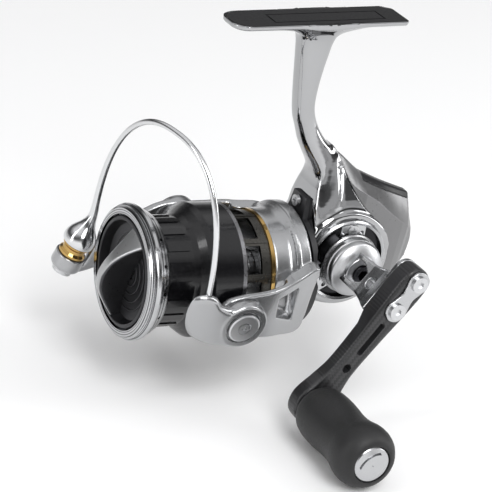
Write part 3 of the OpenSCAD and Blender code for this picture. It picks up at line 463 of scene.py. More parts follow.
def turned(finish, axis_frame, pitch=0.25, depth=0.00001, across=False, fan=0.6):
    """fine rings round the X axis of a frame, as a lathe leaves them; across puts them on a flat face,
    and fan spreads the light along them. Gives the distance that the rings follow"""
    tree = finish.node_tree
    shader = tree.nodes["Principled BSDF"]
    place = add_node(tree, "ShaderNodeTexCoord")
    back = axis_frame.inverted()
    rows = [Vector(back[i][:3]) for i in range(3)]
    origin = axis_frame.translation * 0.001
    local = add_node(tree, "ShaderNodeVectorMath", {0: place.outputs["Object"], 1: origin},
                     operation="SUBTRACT")
    along, *sideways = [dot(tree, local.outputs[0], row) for row in rows]
    if across:
        squares = [maths(tree, "POWER", part, 2.0) for part in sideways]
        run = maths(tree, "POWER", maths(tree, "ADD", *squares), 0.5)
    else:
        run = along
    if depth:
        marks = add_node(tree, "ShaderNodeTexNoise", {"W": run, "Scale": 1000 / pitch, "Detail": 3.0},
                         noise_dimensions="1D")
        add_relief(tree, marks.outputs["Fac"], depth)
    groove = add_node(tree, "ShaderNodeVectorMath", {0: local.outputs[0], 1: rows[0]},
                      operation="CROSS_PRODUCT")
    follow = add_node(tree, "ShaderNodeVectorTransform", {"Vector": groove.outputs[0]},
                      vector_type="VECTOR", convert_from="OBJECT", convert_to="WORLD")
    tree.links.new(follow.outputs[0], shader.inputs["Tangent"])
    shader.inputs["Anisotropic"].default_value = fan
    return run

# %% Painted shade: parts of a finish that go dark
def darken(finish, amount, dark):
    tree = finish.node_tree
    shader = tree.nodes["Principled BSDF"]
    shade = add_node(tree, "ShaderNodeMix", {"Factor": amount}, data_type="RGBA")
    tree.links.new(shader.inputs["Base Color"].links[0].from_socket, shade.inputs["A"])
    shade.inputs["B"].default_value = (*dark, 1)
    tree.links.new(shade.outputs["Result"], shader.inputs["Base Color"])

def paint_wall_shade(finish, side, dark):
    """faces that look along the side direction, either way, are painted dark as shade; only the crest keeps
    the metal's lit colour
    """
    tree = finish.node_tree
    facing = add_node(tree, "ShaderNodeTexCoord")
    lean = maths(tree, "ABSOLUTE", dot(tree, facing.outputs["Normal"], side))
    amount = add_node(tree, "ShaderNodeMapRange", {"Value": lean, "From Min": 0.6, "From Max": 0.85})
    darken(finish, amount.outputs["Result"], dark)

def paint_groove_shade(finish, run, pitch, start, share, dark):
    """narrow rings of painted shade, as grooves would hold, at a fixed pitch of the distance, from a first
    one on, all in metres
    """
    tree = finish.node_tree
    beat = maths(tree, "PINGPONG", maths(tree, "SUBTRACT", run, start), pitch)
    line = add_node(tree, "ShaderNodeMapRange", {
        "Value": beat, "From Min": pitch * share * 0.5, "From Max": pitch * share,
        "To Min": 1.0, "To Max": 0.0})
    darken(finish, line.outputs["Result"], dark)

# painted shade: where the distance is under the limit, the finish goes dark
def paint_shade_inside(finish, run, limit, dark):
    darken(finish, maths(finish.node_tree, "LESS_THAN", run, limit), dark)

# %% The finishes of this reel
# colour, metallic, roughness, and what differs from the starting point
RECIPES = {
    "mirror_chrome": ((0.4, 0.403, 0.41), 1.0, 0.06, dict(mottle=0.03, grain=120, uneven=0.02)),
    "seat_pad": ((0.009, 0.009, 0.01), 0.0, 0.45, dict(coat=0.0, mottle=0.2, bump=0.00001)),
    "satin_alloy": ((0.5, 0.505, 0.515), 1.0, 0.23, dict(mottle=0.02, uneven=0.01)),
    "steel": ((0.6, 0.605, 0.615), 1.0, 0.33, dict(mottle=0.04, uneven=0.02)),
    "blued_steel": ((0.035, 0.035, 0.04), 0.8, 0.32, dict(mottle=0.2, uneven=0.1)),
    "guard_grey": ((0.2, 0.2, 0.203), 0.7, 0.33,
                   dict(coat=0.1, mottle=0.04, bump=0.000004, bump_grain=3500)),
    "trim_black": ((0.008, 0.008, 0.009), 0.0, 0.36, dict(mottle=0.2, bump=0.000006)),
    "dark_cover": ((0.016, 0.016, 0.018), 0.0, 0.34, dict(mottle=0.2, bump=0.000006)),
    "gear_alloy": ((0.62, 0.5, 0.27), 1.0, 0.26, {}),
    "brass": ((0.66, 0.48, 0.2), 1.0, 0.25, {}),
    # painted shade: the hub ring's silver is given a darker grey, as silver seen in shade
    "hub_dark": ((0.36, 0.363, 0.37), 1.0, 0.28, dict(mottle=0.04)),
    "knob_foam": ((0.008, 0.008, 0.0085), 0.0, 0.55,
                  dict(mottle=0.35, grain=1500, bump=0.00002, bump_grain=1700)),
    "rotor_silver": ((0.41, 0.414, 0.422), 0.9, 0.25,
                     dict(coat=0.25, mottle=0.02, grain=2600, uneven=0.015)),
    "gunmetal": ((0.085, 0.082, 0.075), 1.0, 0.3, dict(mottle=0.12)),
    "gold": ((0.52, 0.34, 0.12), 1.0, 0.16, dict(mottle=0.05)),
    "bright_steel": ((0.7, 0.705, 0.715), 1.0, 0.17, dict(mottle=0.03, uneven=0.03)),
    "slider_grey": ((0.1, 0.1, 0.105), 0.0, 0.45, dict(mottle=0.15)),
    "click_black": ((0.02, 0.02, 0.02), 0.0, 0.4, dict(mottle=0.2)),
    "lip_alloy": ((0.52, 0.525, 0.535), 1.0, 0.14, dict(mottle=0.04, uneven=0.03)),
    "spool_black": ((0.004, 0.004, 0.005), 0.3, 0.22, dict(coat=0.4, mottle=0.3)),
    "rim_grey": ((0.25, 0.25, 0.26), 1.0, 0.3, dict(mottle=0.08)),
    "drag_felt": ((0.05, 0.05, 0.052), 0.0, 0.9, dict(mottle=0.3, bump=0.00003)),
    "knob_grey": ((0.045, 0.045, 0.048), 0.85, 0.34, dict(mottle=0.08, uneven=0.03)),
    "bar_metal": ((0.42, 0.425, 0.43), 0.9, 0.3, dict(mottle=0.05, uneven=0.03)),
    "turned_alloy": ((0.5, 0.505, 0.515), 1.0, 0.3, dict(mottle=0.01, uneven=0.004)),
    "plate_alloy_painted_shade": ((0.5, 0.505, 0.515), 1.0, 0.23, dict(mottle=0.02, uneven=0.01)),
}
FINISH = {name: start_finish(name, colour, metallic, rough, **more)
          for name, (colour, metallic, rough, more) in RECIPES.items()}

# %% Lathe marks and painted shade
HUB_AXIS = DRIVE @ turn(90, "Z")
turned(FINISH["spool_black"], WORKS, 0.4)
turned(FINISH["knob_grey"], WORKS, 0.35, across=True)
turned(FINISH["gunmetal"], ROTOR, 0.3)
turned(FINISH["turned_alloy"], HUB_AXIS, 0.35, 0, across=True, fan=0.75)
turned(FINISH["satin_alloy"], HUB_AXIS, 0.35, 0.000002, across=True, fan=0.0)
plate_reach = turned(FINISH["plate_alloy_painted_shade"], HUB_AXIS, 0.35, 0.000002, across=True, fan=0.0)
# painted shade: the side plate's sunk floor, within 13.1 mm of the hub's axis, is dark as if in shade
paint_shade_inside(FINISH["plate_alloy_painted_shade"], plate_reach, 0.0131, (0.03, 0.03, 0.032))
lip_reach = turned(FINISH["lip_alloy"], WORKS, 0.5, 0.00001, across=True)
# painted shade: fine dark rings on the spool lip stand for the shade in its grooves
paint_groove_shade(FINISH["lip_alloy"], lip_reach, 0.0004, 0.0207, 0.45, (0.1, 0.1, 0.105))
BAR_TURN = 23         # the grip bar's lean round the shaft, degrees
# painted shade: the grip bar's side walls go dark, and only its crest stays light
paint_wall_shade(FINISH["bar_metal"], Vector((WORKS @ turn(BAR_TURN, "X")).col[1][:3]), (0.075, 0.075, 0.08))

# %% [markdown]
# Carbon cloth is a two by two twill: each tow runs over two and under two, and the next row is
# moved by one, which gives the slanting ribs. The tows shine along their own direction, so the
# two sets differ in brightness and in the direction of a faint ridge.

# %% Carbon twill under clear resin
def carbon_twill(name, axis_frame, tow=0.0011):
    finish = start_finish(name, (0.02, 0.02, 0.021), 0.1, 0.42, coat=0.25, mottle=0.2)
    tree = finish.node_tree
    shader = tree.nodes["Principled BSDF"]
    place = add_node(tree, "ShaderNodeTexCoord")
    back = axis_frame.inverted()
    def tows(row):
        return maths(tree, "DIVIDE", dot(tree, place.outputs["Object"], Vector(back[row][:3])), tow)
    u, v = [maths(tree, way, tows(0), tows(2)) for way in ("ADD", "SUBTRACT")]
    rows = maths(tree, "ADD", maths(tree, "FLOOR", u), maths(tree, "FLOOR", v))
    over = maths(tree, "LESS_THAN", maths(tree, "FLOORED_MODULO", rows, 4.0), 2.0)
    pick = add_node(tree, "ShaderNodeMix", {"Factor": over}, data_type="FLOAT")
    for side, across in (("A", u), ("B", v)):
        tree.links.new(maths(tree, "PINGPONG", across, 0.5), pick.inputs[side])
    add_relief(tree, pick.outputs["Result"], 0.0001, 0.6)
    # painted sheen: the two sets of tows get a darker and a lighter base colour in the twill's real
    # pattern, for how each set shines along its own direction
    tow_sheen_tone = add_node(tree, "ShaderNodeMix", {"Factor": over}, data_type="RGBA")
    tow_sheen_tone.inputs["A"].default_value = (0.008, 0.008, 0.009, 1)
    tow_sheen_tone.inputs["B"].default_value = (0.026, 0.026, 0.028, 1)
    tree.links.new(tow_sheen_tone.outputs["Result"], shader.inputs["Base Color"])
    return finish

FINISH["carbon"] = carbon_twill("carbon", CRANK)

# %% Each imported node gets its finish
WEARS = {
    "seat_pad": "foot_pad", "mirror_chrome": "body_frame",
    "satin_alloy": "side_plate bearing_retainer hub_cap crank_yoke knob_cap arm_plate",
    "steel": ("plate_screws cover_screw drive_bearings pinion_bearings clutch_rollers guide_rod"
              " drive_shaft knob_spindle knob_bearings rotor_nut clutch_sleeve pivot_screws"
              " roller_bolt pivot_caps main_shaft slider_screw drag_retainer drag_nut arm_screws"),
    "blued_steel": "handle_screw clutch_race", "guard_grey": "rear_guard", "trim_black": "guard_trim",
    "dark_cover": "front_cover far_cap", "gear_alloy": "drive_gear cam_gear", "brass": "pinion_gear",
    "hub_dark": "hub_ring", "carbon": "crank_arm", "knob_foam": "knob_grip",
    "rotor_silver": "rotor_frame near_bail_arm far_bail_arm", "gunmetal": "rotor_drum",
    "gold": "rotor_ring line_roller", "bright_steel": "bail_wire roller_cone", "slider_grey": "slider",
    "click_black": "click_wheel", "lip_alloy": "spool_lip", "spool_black": "spool_arbor",
    "rim_grey": "spool_rim", "drag_felt": "drag_washers", "knob_grey": "drag_knob",
    "bar_metal": "drag_bar",
}
for slot, names in WEARS.items():
    for name in names.split():
        nodes[name].data.materials.clear()
        nodes[name].data.materials.append(FINISH[slot])
# the side plate wears the satin copy with painted shade on its sunk floor
nodes["side_plate"].data.materials[0] = FINISH["plate_alloy_painted_shade"]
bare = sorted(set(nodes) - {name for names in WEARS.values() for name in names.split()})
print("finishes:", len(WEARS), "nodes left bare:", bare)

# %% [markdown]
# ## Foot, stem and body
# The real body is one casting, chromed all over: a thin foot, a stem that swells as it comes
# down, and a drum with the gears in it. It is built as one distance field in the row's frame.
# The stem is a squarish ellipse whose front, back and half width follow three curves.

# %% Curves along the stem
STEM_FRONT = curve_through([(-7.4, -2.6), (-6, -4.6), (-5, -7.8), (-4.4, -13), (-3.6, -21), (-2.8, -28),
                            (-1.9, -33.5), (-0.4, -37.5), (1.6, -42.5), (3.8, -46.5), (6, -50),
                            (7.7, -53.5), (8.4, -57), (7.6, -62), (7.2, -70)])
STEM_BACK = curve_through([(13, -2.6), (9.2, -4.6), (7.2, -8), (6.1, -12.7), (5.2, -17.5), (4.4, -23.5),
                           (4.2, -28.6), (4.8, -32.5), (6.6, -36.8), (9.2, -40.6), (11.5, -43),
                           (13.1, -44.5), (16, -50), (16, -66)])
STEM_HALF = curve_through([(6.6, -1.6), (5.1, -5), (4.3, -10), (3.7, -28), (3.9, -38), (5.6, -48),
                           (9, -62), (10.4, -75)])
BODY_HALF = curve_through([(11.4, -12), (11.4, 8), (11.2, 15), (9.2, 25), (5, 37), (3.9, 46)])
SEAM = curve_through([(15.2, 43.3), (18.5, 38.5), (22, 32), (27, 25.3), (32.4, 20.5), (36.4, 16.5),
                      (38.6, 12)])
FACE_X = 9.6          # the body's front face
BODY_FRONT = [(FACE_X, -7), (FACE_X, 24), (10.2, 30), (12, 36)]
body_side = flat_shape([*BODY_FRONT, *SEAM, (36, 0), (30, -6), (16, -8.6)])
body_past_seam = flat_shape([*BODY_FRONT, (15.2, 43.3), (19, 50), (60, 50), (60, -12), (16, -8.6)])

def from_curve(curve, height):
    """the first value of a curve at a height, where the curve's heights only rise or only fall"""
    c = curve[np.argsort(curve[:, 1])]
    return np.interp(height, c[:, 1], c[:, 0])

def to_works(x, z):
    """row to works, in millimetres"""
    c, s = math.cos(math.radians(TILT)), math.sin(math.radians(TILT))
    return x * c - z * s, x * s + z * c + DROP

# %% The foot
def foot_outline(inset):
    half, end, corner = 7.35 - inset, 31 - inset, 5.5
    points = [(end - 1.2, -half), (end, -half + 1.2), (end, half - 2.6), (end - 3.1, half)]
    for side, start in ((1, 90), (-1, 180)):
        for a in range(start, start + 91, 10):
            points.append((-end + corner + corner * math.cos(math.radians(a)),
                           side * (half - corner) + corner * math.sin(math.radians(a))))
    return points

foot_flat, seat_flat = flat_shape(foot_outline(0)), flat_shape(foot_outline(0.8))
UNDERSIDE = curve_through([(-31, -1.6), (-20, -2.1), (-9, -3.1), (0, -3.3), (10, -3.2), (20, -2.2),
                           (31, -1.6)])

def foot_field(x, y, z):
    middle = np.interp(x, UNDERSIDE[:, 0], UNDERSIDE[:, 1])
    under = -1.5 + (middle + 1.5) * np.clip(1.25 - np.abs(y / 6.6) ** 3, 0, 1)
    return soft_max(foot_flat(x, y), np.maximum(z - 0.3, under - z), 0.7)

# %% The hollow for the gears
def hollow_field(x, y, z):
    """the room inside the body and the guard, in the works frame; the crank's side is -y"""
    u, v = x - DRIVE_X, z - DRIVE_Z
    drum = rod_along(u, v, 13.1, -y, -5.9, 12.4, 0.2)
    bearing = rod_along(u, v, 6, -y, -12.4, -4.9, 0.1)
    slide = block(x, y, z, (34.9, 0.5, 4.2), (12.1, 2.8, 7.25))
    rod_room = block(x, y, z, (33.4, 0.5, -3.4), (10.6, 2.8, 2.25))
    cam = rod_along(x - CAM_X, z - CAM_Z, 8.75, y, 2.6, 5.9, 0.1)
    pinion = rod_along(y, z, 3.4, x, 6.6, 14, 0.1)
    room = np.minimum(np.minimum(drum, bearing), np.minimum(slide, rod_room))
    return np.minimum(np.minimum(room, cam), pinion)

def lug_field(x, y, z):
    post = rod_along(x - CAM_X, z - CAM_Z, 1.5, y, 2.9, 6.9, 0.1)
    ring = np.maximum(rod_along(y, z, 3.3, x, 17.4, 19.2, 0.1), -1.2 - y)
    arm = block(x, y, z, (18.3, 3.55, -0.9), (0.9, 2.95, 2.4))
    rest = np.maximum(np.minimum(ring, arm), 2.7 - np.hypot(y, z))
    rod_lug = block(x, y, z, (25.4, 2.85, -4.95), (1, 4.05, 3.05))
    rod_lug = np.maximum(rod_lug, 0.9 - np.hypot(y, z + ROD_DROP))
    return np.minimum(np.minimum(post, rest), rod_lug)

# %% The whole casting
DRUM_RADIUS = 16.3
SQUARISH = 2.7        # the power of the stem's section; 2 is an ellipse
SHELL_EDGE = 2.4      # radius along the shell's edges

def casting_field(x, y, z):
    front, back = from_curve(STEM_FRONT, z), from_curve(STEM_BACK, z)
    half_x = (back - front) / 2
    half_y = from_curve(STEM_HALF, z)
    across = np.abs((x - (front + back) / 2) / half_x) ** SQUARISH
    sides = np.abs(y / half_y) ** SQUARISH
    stem = ((across + sides) ** (1 / SQUARISH) - 1) * np.minimum(half_x, half_y)
    stem = np.maximum(stem, np.maximum(z + 1, -68 - z))
    top = soft_min(foot_field(x, y, z), stem, 3.5)
    top = np.maximum(np.maximum(top, z), -np.maximum(seat_flat(x, y), -0.9 - z))
    u, w = to_works(x, z)
    wide = from_curve(BODY_HALF, w)
    a, b = body_past_seam(u, w) + SHELL_EDGE, (np.abs(y) - wide) * 0.94 + SHELL_EDGE
    shell = np.minimum(np.maximum(a, b), 0) + np.hypot(np.maximum(a, 0), np.maximum(b, 0)) - SHELL_EDGE
    shell = soft_max(shell, body_side(u, w), 0.35)
    a, b = u - DRIVE_X, w - DRIVE_Z
    drum = rod_along(a, b, DRUM_RADIUS, y, -11.4, 11.4, 0.7)
    body = soft_min(soft_min(top, shell, 2.5), drum, 1.6)
    front_cut = np.maximum(u - FACE_X, np.hypot(y, w) - 19.6)
    cover_seat = np.maximum(np.maximum(u - FACE_X, np.abs(y) - 5.2), np.abs(w - 19) - 7)
    plate_seat, cap_seat = rod_along(a, b, 14.4, -y, 10, 14, 0.05), rod_along(a, b, 9, y, 9.4, 14, 0.05)
    screw_hole = rod_along(y, w - 23.6, 0.9, u, 0, 13.6, 0.1)
    body = carve(body, front_cut, cover_seat, plate_seat, cap_seat, screw_hole, hollow_field(u, y, w))
    return np.minimum(body, lug_field(u, y, w))

body = cast_piece("body_casting", casting_field, (-31, -12, -98.5), (41.5, 12, 0), 0.45, ROW)
dress(body, "frame", "mirror_chrome", "body_frame")

# %% [markdown]
# ## Rear guard
# The grey guard is a keel: a narrow ridge with a black strip on it, a crease where it is widest,
# and a tail that draws in. Its sections are listed from front to back, and the half width at any
# height is read between the ridge, the crease and the underside. A seam 0.1 mm wide leaves it
# free of the casting.

# %% Sections of the guard
# distance back, then height and half width of the ridge, the crease and the underside
GUARD = np.array([
    (15.2, 43.3, 3.2, 38, 4.6, 24, 6), (19.9, 40.1, 2.9, 34, 6.4, 10, 8),
    (24.6, 36.5, 2.5, 30.6, 8, -4, 9), (28.3, 33.9, 2.1, 28.8, 8.9, -6, 9.4),
    (33, 31.9, 2, 26.4, 9.3, -7, 8.8), (37.7, 30, 2, 22.8, 9.1, -7.6, 8),
    (42, 28.5, 2, 19.8, 8.6, -7.3, 7), (45, 27.5, 2, 17.9, 8, -5.5, 6),
    (48.3, 26.4, 2, 16.3, 6.6, -0.6, 4.6), (50, 18.5, 3.6, 14.8, 5.2, 1, 3.6),
    (51.8, 14.2, 3.4, 12, 3.8, 3, 3), (52.9, 9.6, 2.8, 9, 2.9, 8, 2.8)])
TRIM_SIDE = [(27.6, 36), (37.7, 31.4), (48.4, 28.5), (50.4, 24), (48.6, 24.4), (37.4, 28.3), (28.1, 32.2)]
trim_side = flat_shape(TRIM_SIDE)

def keel_field(x, y, z):
    ridge, ridge_half, crease, crease_half, low, low_half = [np.interp(x, GUARD[:, 0], column)
                                                             for column in GUARD[:, 1:].T]
    over = np.clip((z - crease) / (ridge - crease), 0, 1)
    under = np.clip((crease - z) / np.maximum(crease - low, 0.5), 0, 1)
    half = crease_half + (ridge_half - crease_half) * over + (low_half - crease_half) * under
    caps = soft_max(soft_max(z - ridge, low - z, 1), soft_max(x - 52.9, 15.2 - x, 1), 1.2)
    return soft_max((np.abs(y) - half) * 0.8, caps * 0.9, 0.7)

def seam_field(x, z):
    return np.minimum(body_side(x, z), np.hypot(x - DRIVE_X, z - DRIVE_Z) - DRUM_RADIUS)

def guard_field(x, y, z):
    rod_bore = rod_along(y, z + ROD_DROP, 0.9, x, 27, 45.9, 0.05)
    return carve(keel_field(x, y, z), seam_field(x, z) - 0.1, trim_side(x, z) - 0.08,
                 hollow_field(x, y, z), rod_bore)

def trim_field(x, y, z):
    return np.maximum(keel_field(x, y, z), trim_side(x, z))

guard = cast_piece("keel_guard", guard_field, (15, -9.8, -8), (53.2, 9.8, 43.6), 0.4, WORKS)
dress(guard, "frame", "guard_grey", "rear_guard")
strip = cast_piece("ridge_strip", trim_field, (27, -4.6, 23), (51, 4.6, 36), 0.25, WORKS)
dress(strip, "frame", "trim_black", "guard_trim")

# %% [markdown]
# ## Rotor
# The rotor is a cup with two arms, die cast and painted satin silver. The cup is a profile
# turned round the shaft. Each arm is a flat outline with a window, thick enough to carry the
# bail's pivot, and everything flows together with a fillet.

# %% Outlines of the rotor
ARM_SIDE = round_ends([(0, 8.4), (-5.5, 6.2), (-8.4, 0), (-5.5, -6.2), (0, -8.4), (8, -8.8), (17, -9.4),
                       (27.2, -9.6), (27.2, 3), (27.2, 15.4), (18, 12.6), (9, 9.7)], 5)
ARM_WINDOW = flat_shape([(13.6, 6.6), (19.8, 9.2), (21.4, -3.6), (14.8, -0.8)])
ARM_OUT = curve_through([(-10, 25.35), (6, 25.3), (14, 24.9), (20, 23.4), (26.9, 21.4)])
ARM_IN = curve_through([(-10, 23), (13, 23), (16, 20.5), (19, 18.8), (26.9, 17)])
CUP_OUT = curve_through([(-6.7, 19.1), (-5.9, 19.4), (-1.5, 19.6), (0, 20.2), (1.4, 21.2), (2.3, 21.75),
                         (6.4, 21.75)])

def rotor_field(x, y, z):
    """in the rotor's frame"""
    reach = np.hypot(y, z)
    outer = np.interp(x, CUP_OUT[:, 0], CUP_OUT[:, 1])
    cup = soft_max(reach - outer, np.abs(x + 0.4) - 6.2, 0.8)
    cup = carve(cup, np.maximum(reach - np.where(x > 0.6, 20.2, 18.3), -4.8 - x))
    neck = rod_along(y, z, 5.6, x, -8.8, -5, 0.3)
    u = x + PIVOT_AHEAD
    out, inn = np.interp(u, ARM_OUT[:, 0], ARM_OUT[:, 1]), np.interp(u, ARM_IN[:, 0], ARM_IN[:, 1])
    side = np.abs(y)
    band = np.abs(side - (out + inn) / 2) - (out - inn) / 2
    lean = np.where(y > 0, -z, z)     # the far arm is the near one, half a turn on
    arm = soft_max(ARM_SIDE(u, lean), band, 0.9)
    arm = soft_max(arm, -(ARM_WINDOW(u, lean) - 0.3), 0.6)
    pin = rod_along(u, z, 3, side, 24, 29.6, 0.2)
    body = np.minimum(soft_min(soft_min(cup, arm, 1.4), neck, 0.4), pin)
    return carve(body, rod_along(u, z, 1, side, 26.4, 31, 0.05), reach - 2.6)

rotor = cast_piece("rotor_casting", rotor_field, (-30.5, -29.8, -22), (6, 29.8, 22), 0.42, ROTOR)
dress(rotor, "rotor", "rotor_silver", "rotor_frame")

# %% [markdown]
# ## Bail
# Two levers swing on pins at the ends of the rotor's arms. The near lever is a low dome with a
# pivot cap in a well; the far one reaches forward to the seat of the line roller. Between them
# runs one bent wire, which thickens into a cone over the roller so that the line slides down
# to it. The bow of the wire is a squarish ellipse, so one formula draws it.

# %% Levers of the bail
NEAR_LEVER = round_ends([(7.4, -4.8), (3, -8.3), (-4, -8.2), (-12.5, -6.4), (-17.4, -3.8), (-20, 0.6),
                         (-20.7, 6), (-19.6, 10.6), (-16, 12.1), (-12, 11), (-9.4, 8.3), (-5.4, 6.9),
                         (-1, 8.5), (5, 7.2), (8.8, 1)], 6)
FAR_LEVER = round_ends([(6.4, -3.8), (2, -7.1), (-6, -8), (-13, -11), (-22, -18), (-29.6, -21.2),
                        (-33.4, -20.4), (-33, -17.9), (-29.4, -17.6), (-26.4, -9.2), (-19.6, -2.2),
                        (-10, 5), (-2, 7.2), (5, 5.6), (7.4, 1)], 6)
LEAN_COS, LEAN_SIN = math.cos(math.radians(ROLLER_LEAN)), math.sin(math.radians(ROLLER_LEAN))

def pivot_cuts(x, z, out):
    """the well for the pivot cap and the bore for the pin, in either lever"""
    return rod_along(x, z, 6, out, 29.3, 33, 0.1), rod_along(x, z, 3.05, out, 20, 33, 0.05)

def near_lever_field(x, y, z):
    """in the bail's frame; the near side is -y"""
    out = -y
    side = NEAR_LEVER(x, z)
    crown = 30 - 0.012 * (x + 6) ** 2
    lever = soft_max(side, np.maximum(out - crown, 25.75 - out), 2.2)
    collar = rod_along(x, z, 8.3, out, 25.8, 30, 0.9)
    lever = soft_min(lever, collar, 0.6)
    wire_hole = rod_along(x + 14.6, y + 27, 1.0, z, 6, 14, 0.1)
    return carve(lever, *pivot_cuts(x, z, out), wire_hole)

def far_lever_field(x, y, z):
    lever = soft_max(FAR_LEVER(x, z), np.maximum(y - 28.5, 25.75 - y), 1.2)
    hub = rod_along(x, z, 7.4, y, 25.8, 30, 0.8)
    a, v, c = x - ROLLER_AT[0], y - ROLLER_AT[1], z - ROLLER_AT[2]
    u, w = a * LEAN_COS - c * LEAN_SIN, a * LEAN_SIN + c * LEAN_COS
    seat = np.minimum(rod_along(u, v, 5.2, w, -7.4, -1.8, 1.8), rod_along(u, v, 5.2, w, -5, -1.8, 0.3))
    lever = soft_min(soft_min(lever, hub, 1), seat, 1)
    roller_room = rod_along(u, v, 5.8, w, -1.8, 6, 0.05)
    bolt_head = rod_along(u, v, 3.5, w, -12, -7.4, 0.05)
    bolt_hole = rod_along(u, v, 1.35, w, -9, 3, 0.05)
    return carve(lever, roller_room, bolt_head, bolt_hole, *pivot_cuts(x, z, y))

near_lever = cast_piece("near_lever", near_lever_field, (-21.2, -30.2, -9), (9.2, -25.4, 12.6), 0.3, BAIL)
dress(near_lever, "bail", "rotor_silver", "near_bail_arm")
far_lever = cast_piece("far_lever", far_lever_field, (-41.5, 21.4, -22), (8, 32.6, 8), 0.3, BAIL)
dress(far_lever, "bail", "rotor_silver", "far_bail_arm")

# %% The wire and the roller's cone
WIRE_NEAR, WIRE_FAR = Vector((-14.6, -27, 9)), Vector((-30.47, 27, 2.2))
WIRE_RADIUS, BOW_STEPS = 0.98, 96
BOW_SHARPNESS, BOW_HEIGHT = 2 / 2.4, 45.6
ROWS, CONE_ROWS = 240, 28       # rings along the whole piece, and on the cone alone
CONE = ((14.2, 1.5), (12, 2), (10.3, 2.75), (8.8, 3.7), (7.3, 4.65), (5.9, 5.25), (4.6, 5.45), (3.4, 5.4),
        (2.95, 5.2))            # height over the roller's seat, and radius
span = (WIRE_FAR - WIRE_NEAR).length
across = (WIRE_FAR - WIRE_NEAR).normalized()
level = Vector((across.y, -across.x, 0)).normalized()
upward = level.cross(across).normalized()
upward = upward if upward.z > 0 else -upward
roller_axis = Vector((LEAN_SIN, 0, LEAN_COS))
path, radii = [WIRE_NEAR - upward * 2.4], [WIRE_RADIUS]
for k in range(BOW_STEPS - 1):
    a = math.pi * k / BOW_STEPS
    s = span / 2 - span / 2 * math.copysign(abs(math.cos(a)) ** BOW_SHARPNESS, math.cos(a))
    h = BOW_HEIGHT * math.sin(a) ** BOW_SHARPNESS
    path.append(WIRE_NEAR + across * s + upward * h)
    radii.append(WIRE_RADIUS + 0.25 * max(0, k / BOW_STEPS - 0.8) * 5)
for height, radius in CONE:
    path.append(Vector(ROLLER_AT) + roller_axis * height)
    radii.append(radius)
bent = np.array([tuple(p) for p in path])
order = np.concatenate([[0], np.cumsum(np.linalg.norm(np.diff(bent, axis=0), axis=1))])
even = np.linspace(0, order[-1], ROWS)
even[-CONE_ROWS:] = np.linspace(order[-len(CONE) - 1], order[-1], CONE_ROWS)
wire_path = np.stack([np.interp(even, order, bent[:, i]) for i in range(3)], 1)
for _ in range(6):
    wire_path[1:-14] = (wire_path[:-15] + 2 * wire_path[1:-14] + wire_path[2:-13]) / 4
wire = build_piece("bail_wire_and_cone", *run_along(wire_path, np.interp(even, order, radii), 28), BAIL)
dress(wire, "bail", "bright_steel", "bail_wire", "roller_cone")
print("wire:", round(float(order[-1]), 1), "mm long")

# %% [markdown]
# ## Crank
# A fork turns on the drive shaft under a domed cap. It carries a flat carbon arm, held by a
# small plate and two screws, and the foam grip turns on a spindle at the arm's end. The crank's
# frame has its z axis along the arm; the arm hangs down, and outwards is -y.

# %% The carbon arm
ARM_FLAT = round_ends(both_sides((0, 14.3), [(-3.9, 12.7), (-5.3, 9), (-5.2, 0), (-4.4, -13), (-4.1, -26),
                                             (-5.4, -33.4), (-7, -41), (-4.9, -46.3)], (0, -48)), 6)
PLATE_FLAT = round_ends(both_sides((0, 13.8), [(-2.8, 12.7), (-3.9, 9.9), (-3.3, 7.6), (-2.5, 4.4),
                                               (-3.3, 1.1), (-3.9, -1.2), (-2.8, -4)], (0, -5.1)), 5)
ARM_OUTER, ARM_INNER, ARM_THIN = 46.3, 38.6, 40.4
SCREWS_AT, SCREW_BORE = (9.9, -1.2), 1.4

def arm_field(x, y, z):
    out = -y
    inner = np.interp(z, [-12, -7], [ARM_THIN, ARM_INNER])
    arm = soft_max(ARM_FLAT(x, z), np.maximum(out - ARM_OUTER, inner - out), 1.5)
    slot = np.hypot(x, z + 13.25 - np.clip(z + 13.25, -5.25, 5.25)) - 1.1
    holes = [slot, np.hypot(x, z + 25.3) - 1.5, np.hypot(x, z + CRANK_LONG) - 2.2]
    holes += [np.hypot(x, z - at) - SCREW_BORE for at in SCREWS_AT]
    return carve(arm, *holes, np.maximum(PLATE_FLAT(x, z) - 0.05, ARM_OUTER - 0.5 - out))

arm = cast_piece("carbon_arm", arm_field, (-7.2, -46.5, -48.2), (7.2, -38.4, 14.5), 0.3, CRANK)
dress(arm, "crank", "carbon", "crank_arm")

# %% The plate on it
def plate_field(x, y, z):
    plate = thick(PLATE_FLAT(x, z), -y, ARM_OUTER - 0.45, ARM_OUTER + 0.9, 0.35)
    return carve(plate, *[np.hypot(x, z - at) - SCREW_BORE for at in SCREWS_AT])

plate = cast_piece("arm_plate_cast", plate_field, (-4.1, -47.4, -5.3), (4.1, -45.7, 14), 0.2, CRANK)
dress(plate, "crank", "satin_alloy", "arm_plate")

# %% The fork
FORK_SIDE = flat_shape([(-21, -5.6), (-22.8, -5.6), (-29, -5.8), (-33, -6.6), (-36, -7.5), (-38.6, -7.8),
                        (-38.6, 7.8), (-36, 7.5), (-33, 6.6), (-29, 5.8), (-22.8, 5.6), (-21, 5.6)])
FORK_TOP = flat_shape([(-5.4, -21), (5.4, -21), (5.2, -23.6), (4.2, -26.4), (3.4, -29), (3.3, -31.5),
                       (3.5, -34.4), (4.4, -38.6), (-4.4, -38.6), (-3.5, -34.4), (-3.3, -31.5), (-3.4, -29),
                       (-4.2, -26.4), (-5.2, -23.6)])
FORK_GAP = flat_shape([(-22.8, -3.7), (-25.6, -3.7), (-28.4, -1.8), (-28.4, 1.8), (-25.6, 3.7),
                       (-22.8, 3.7)])

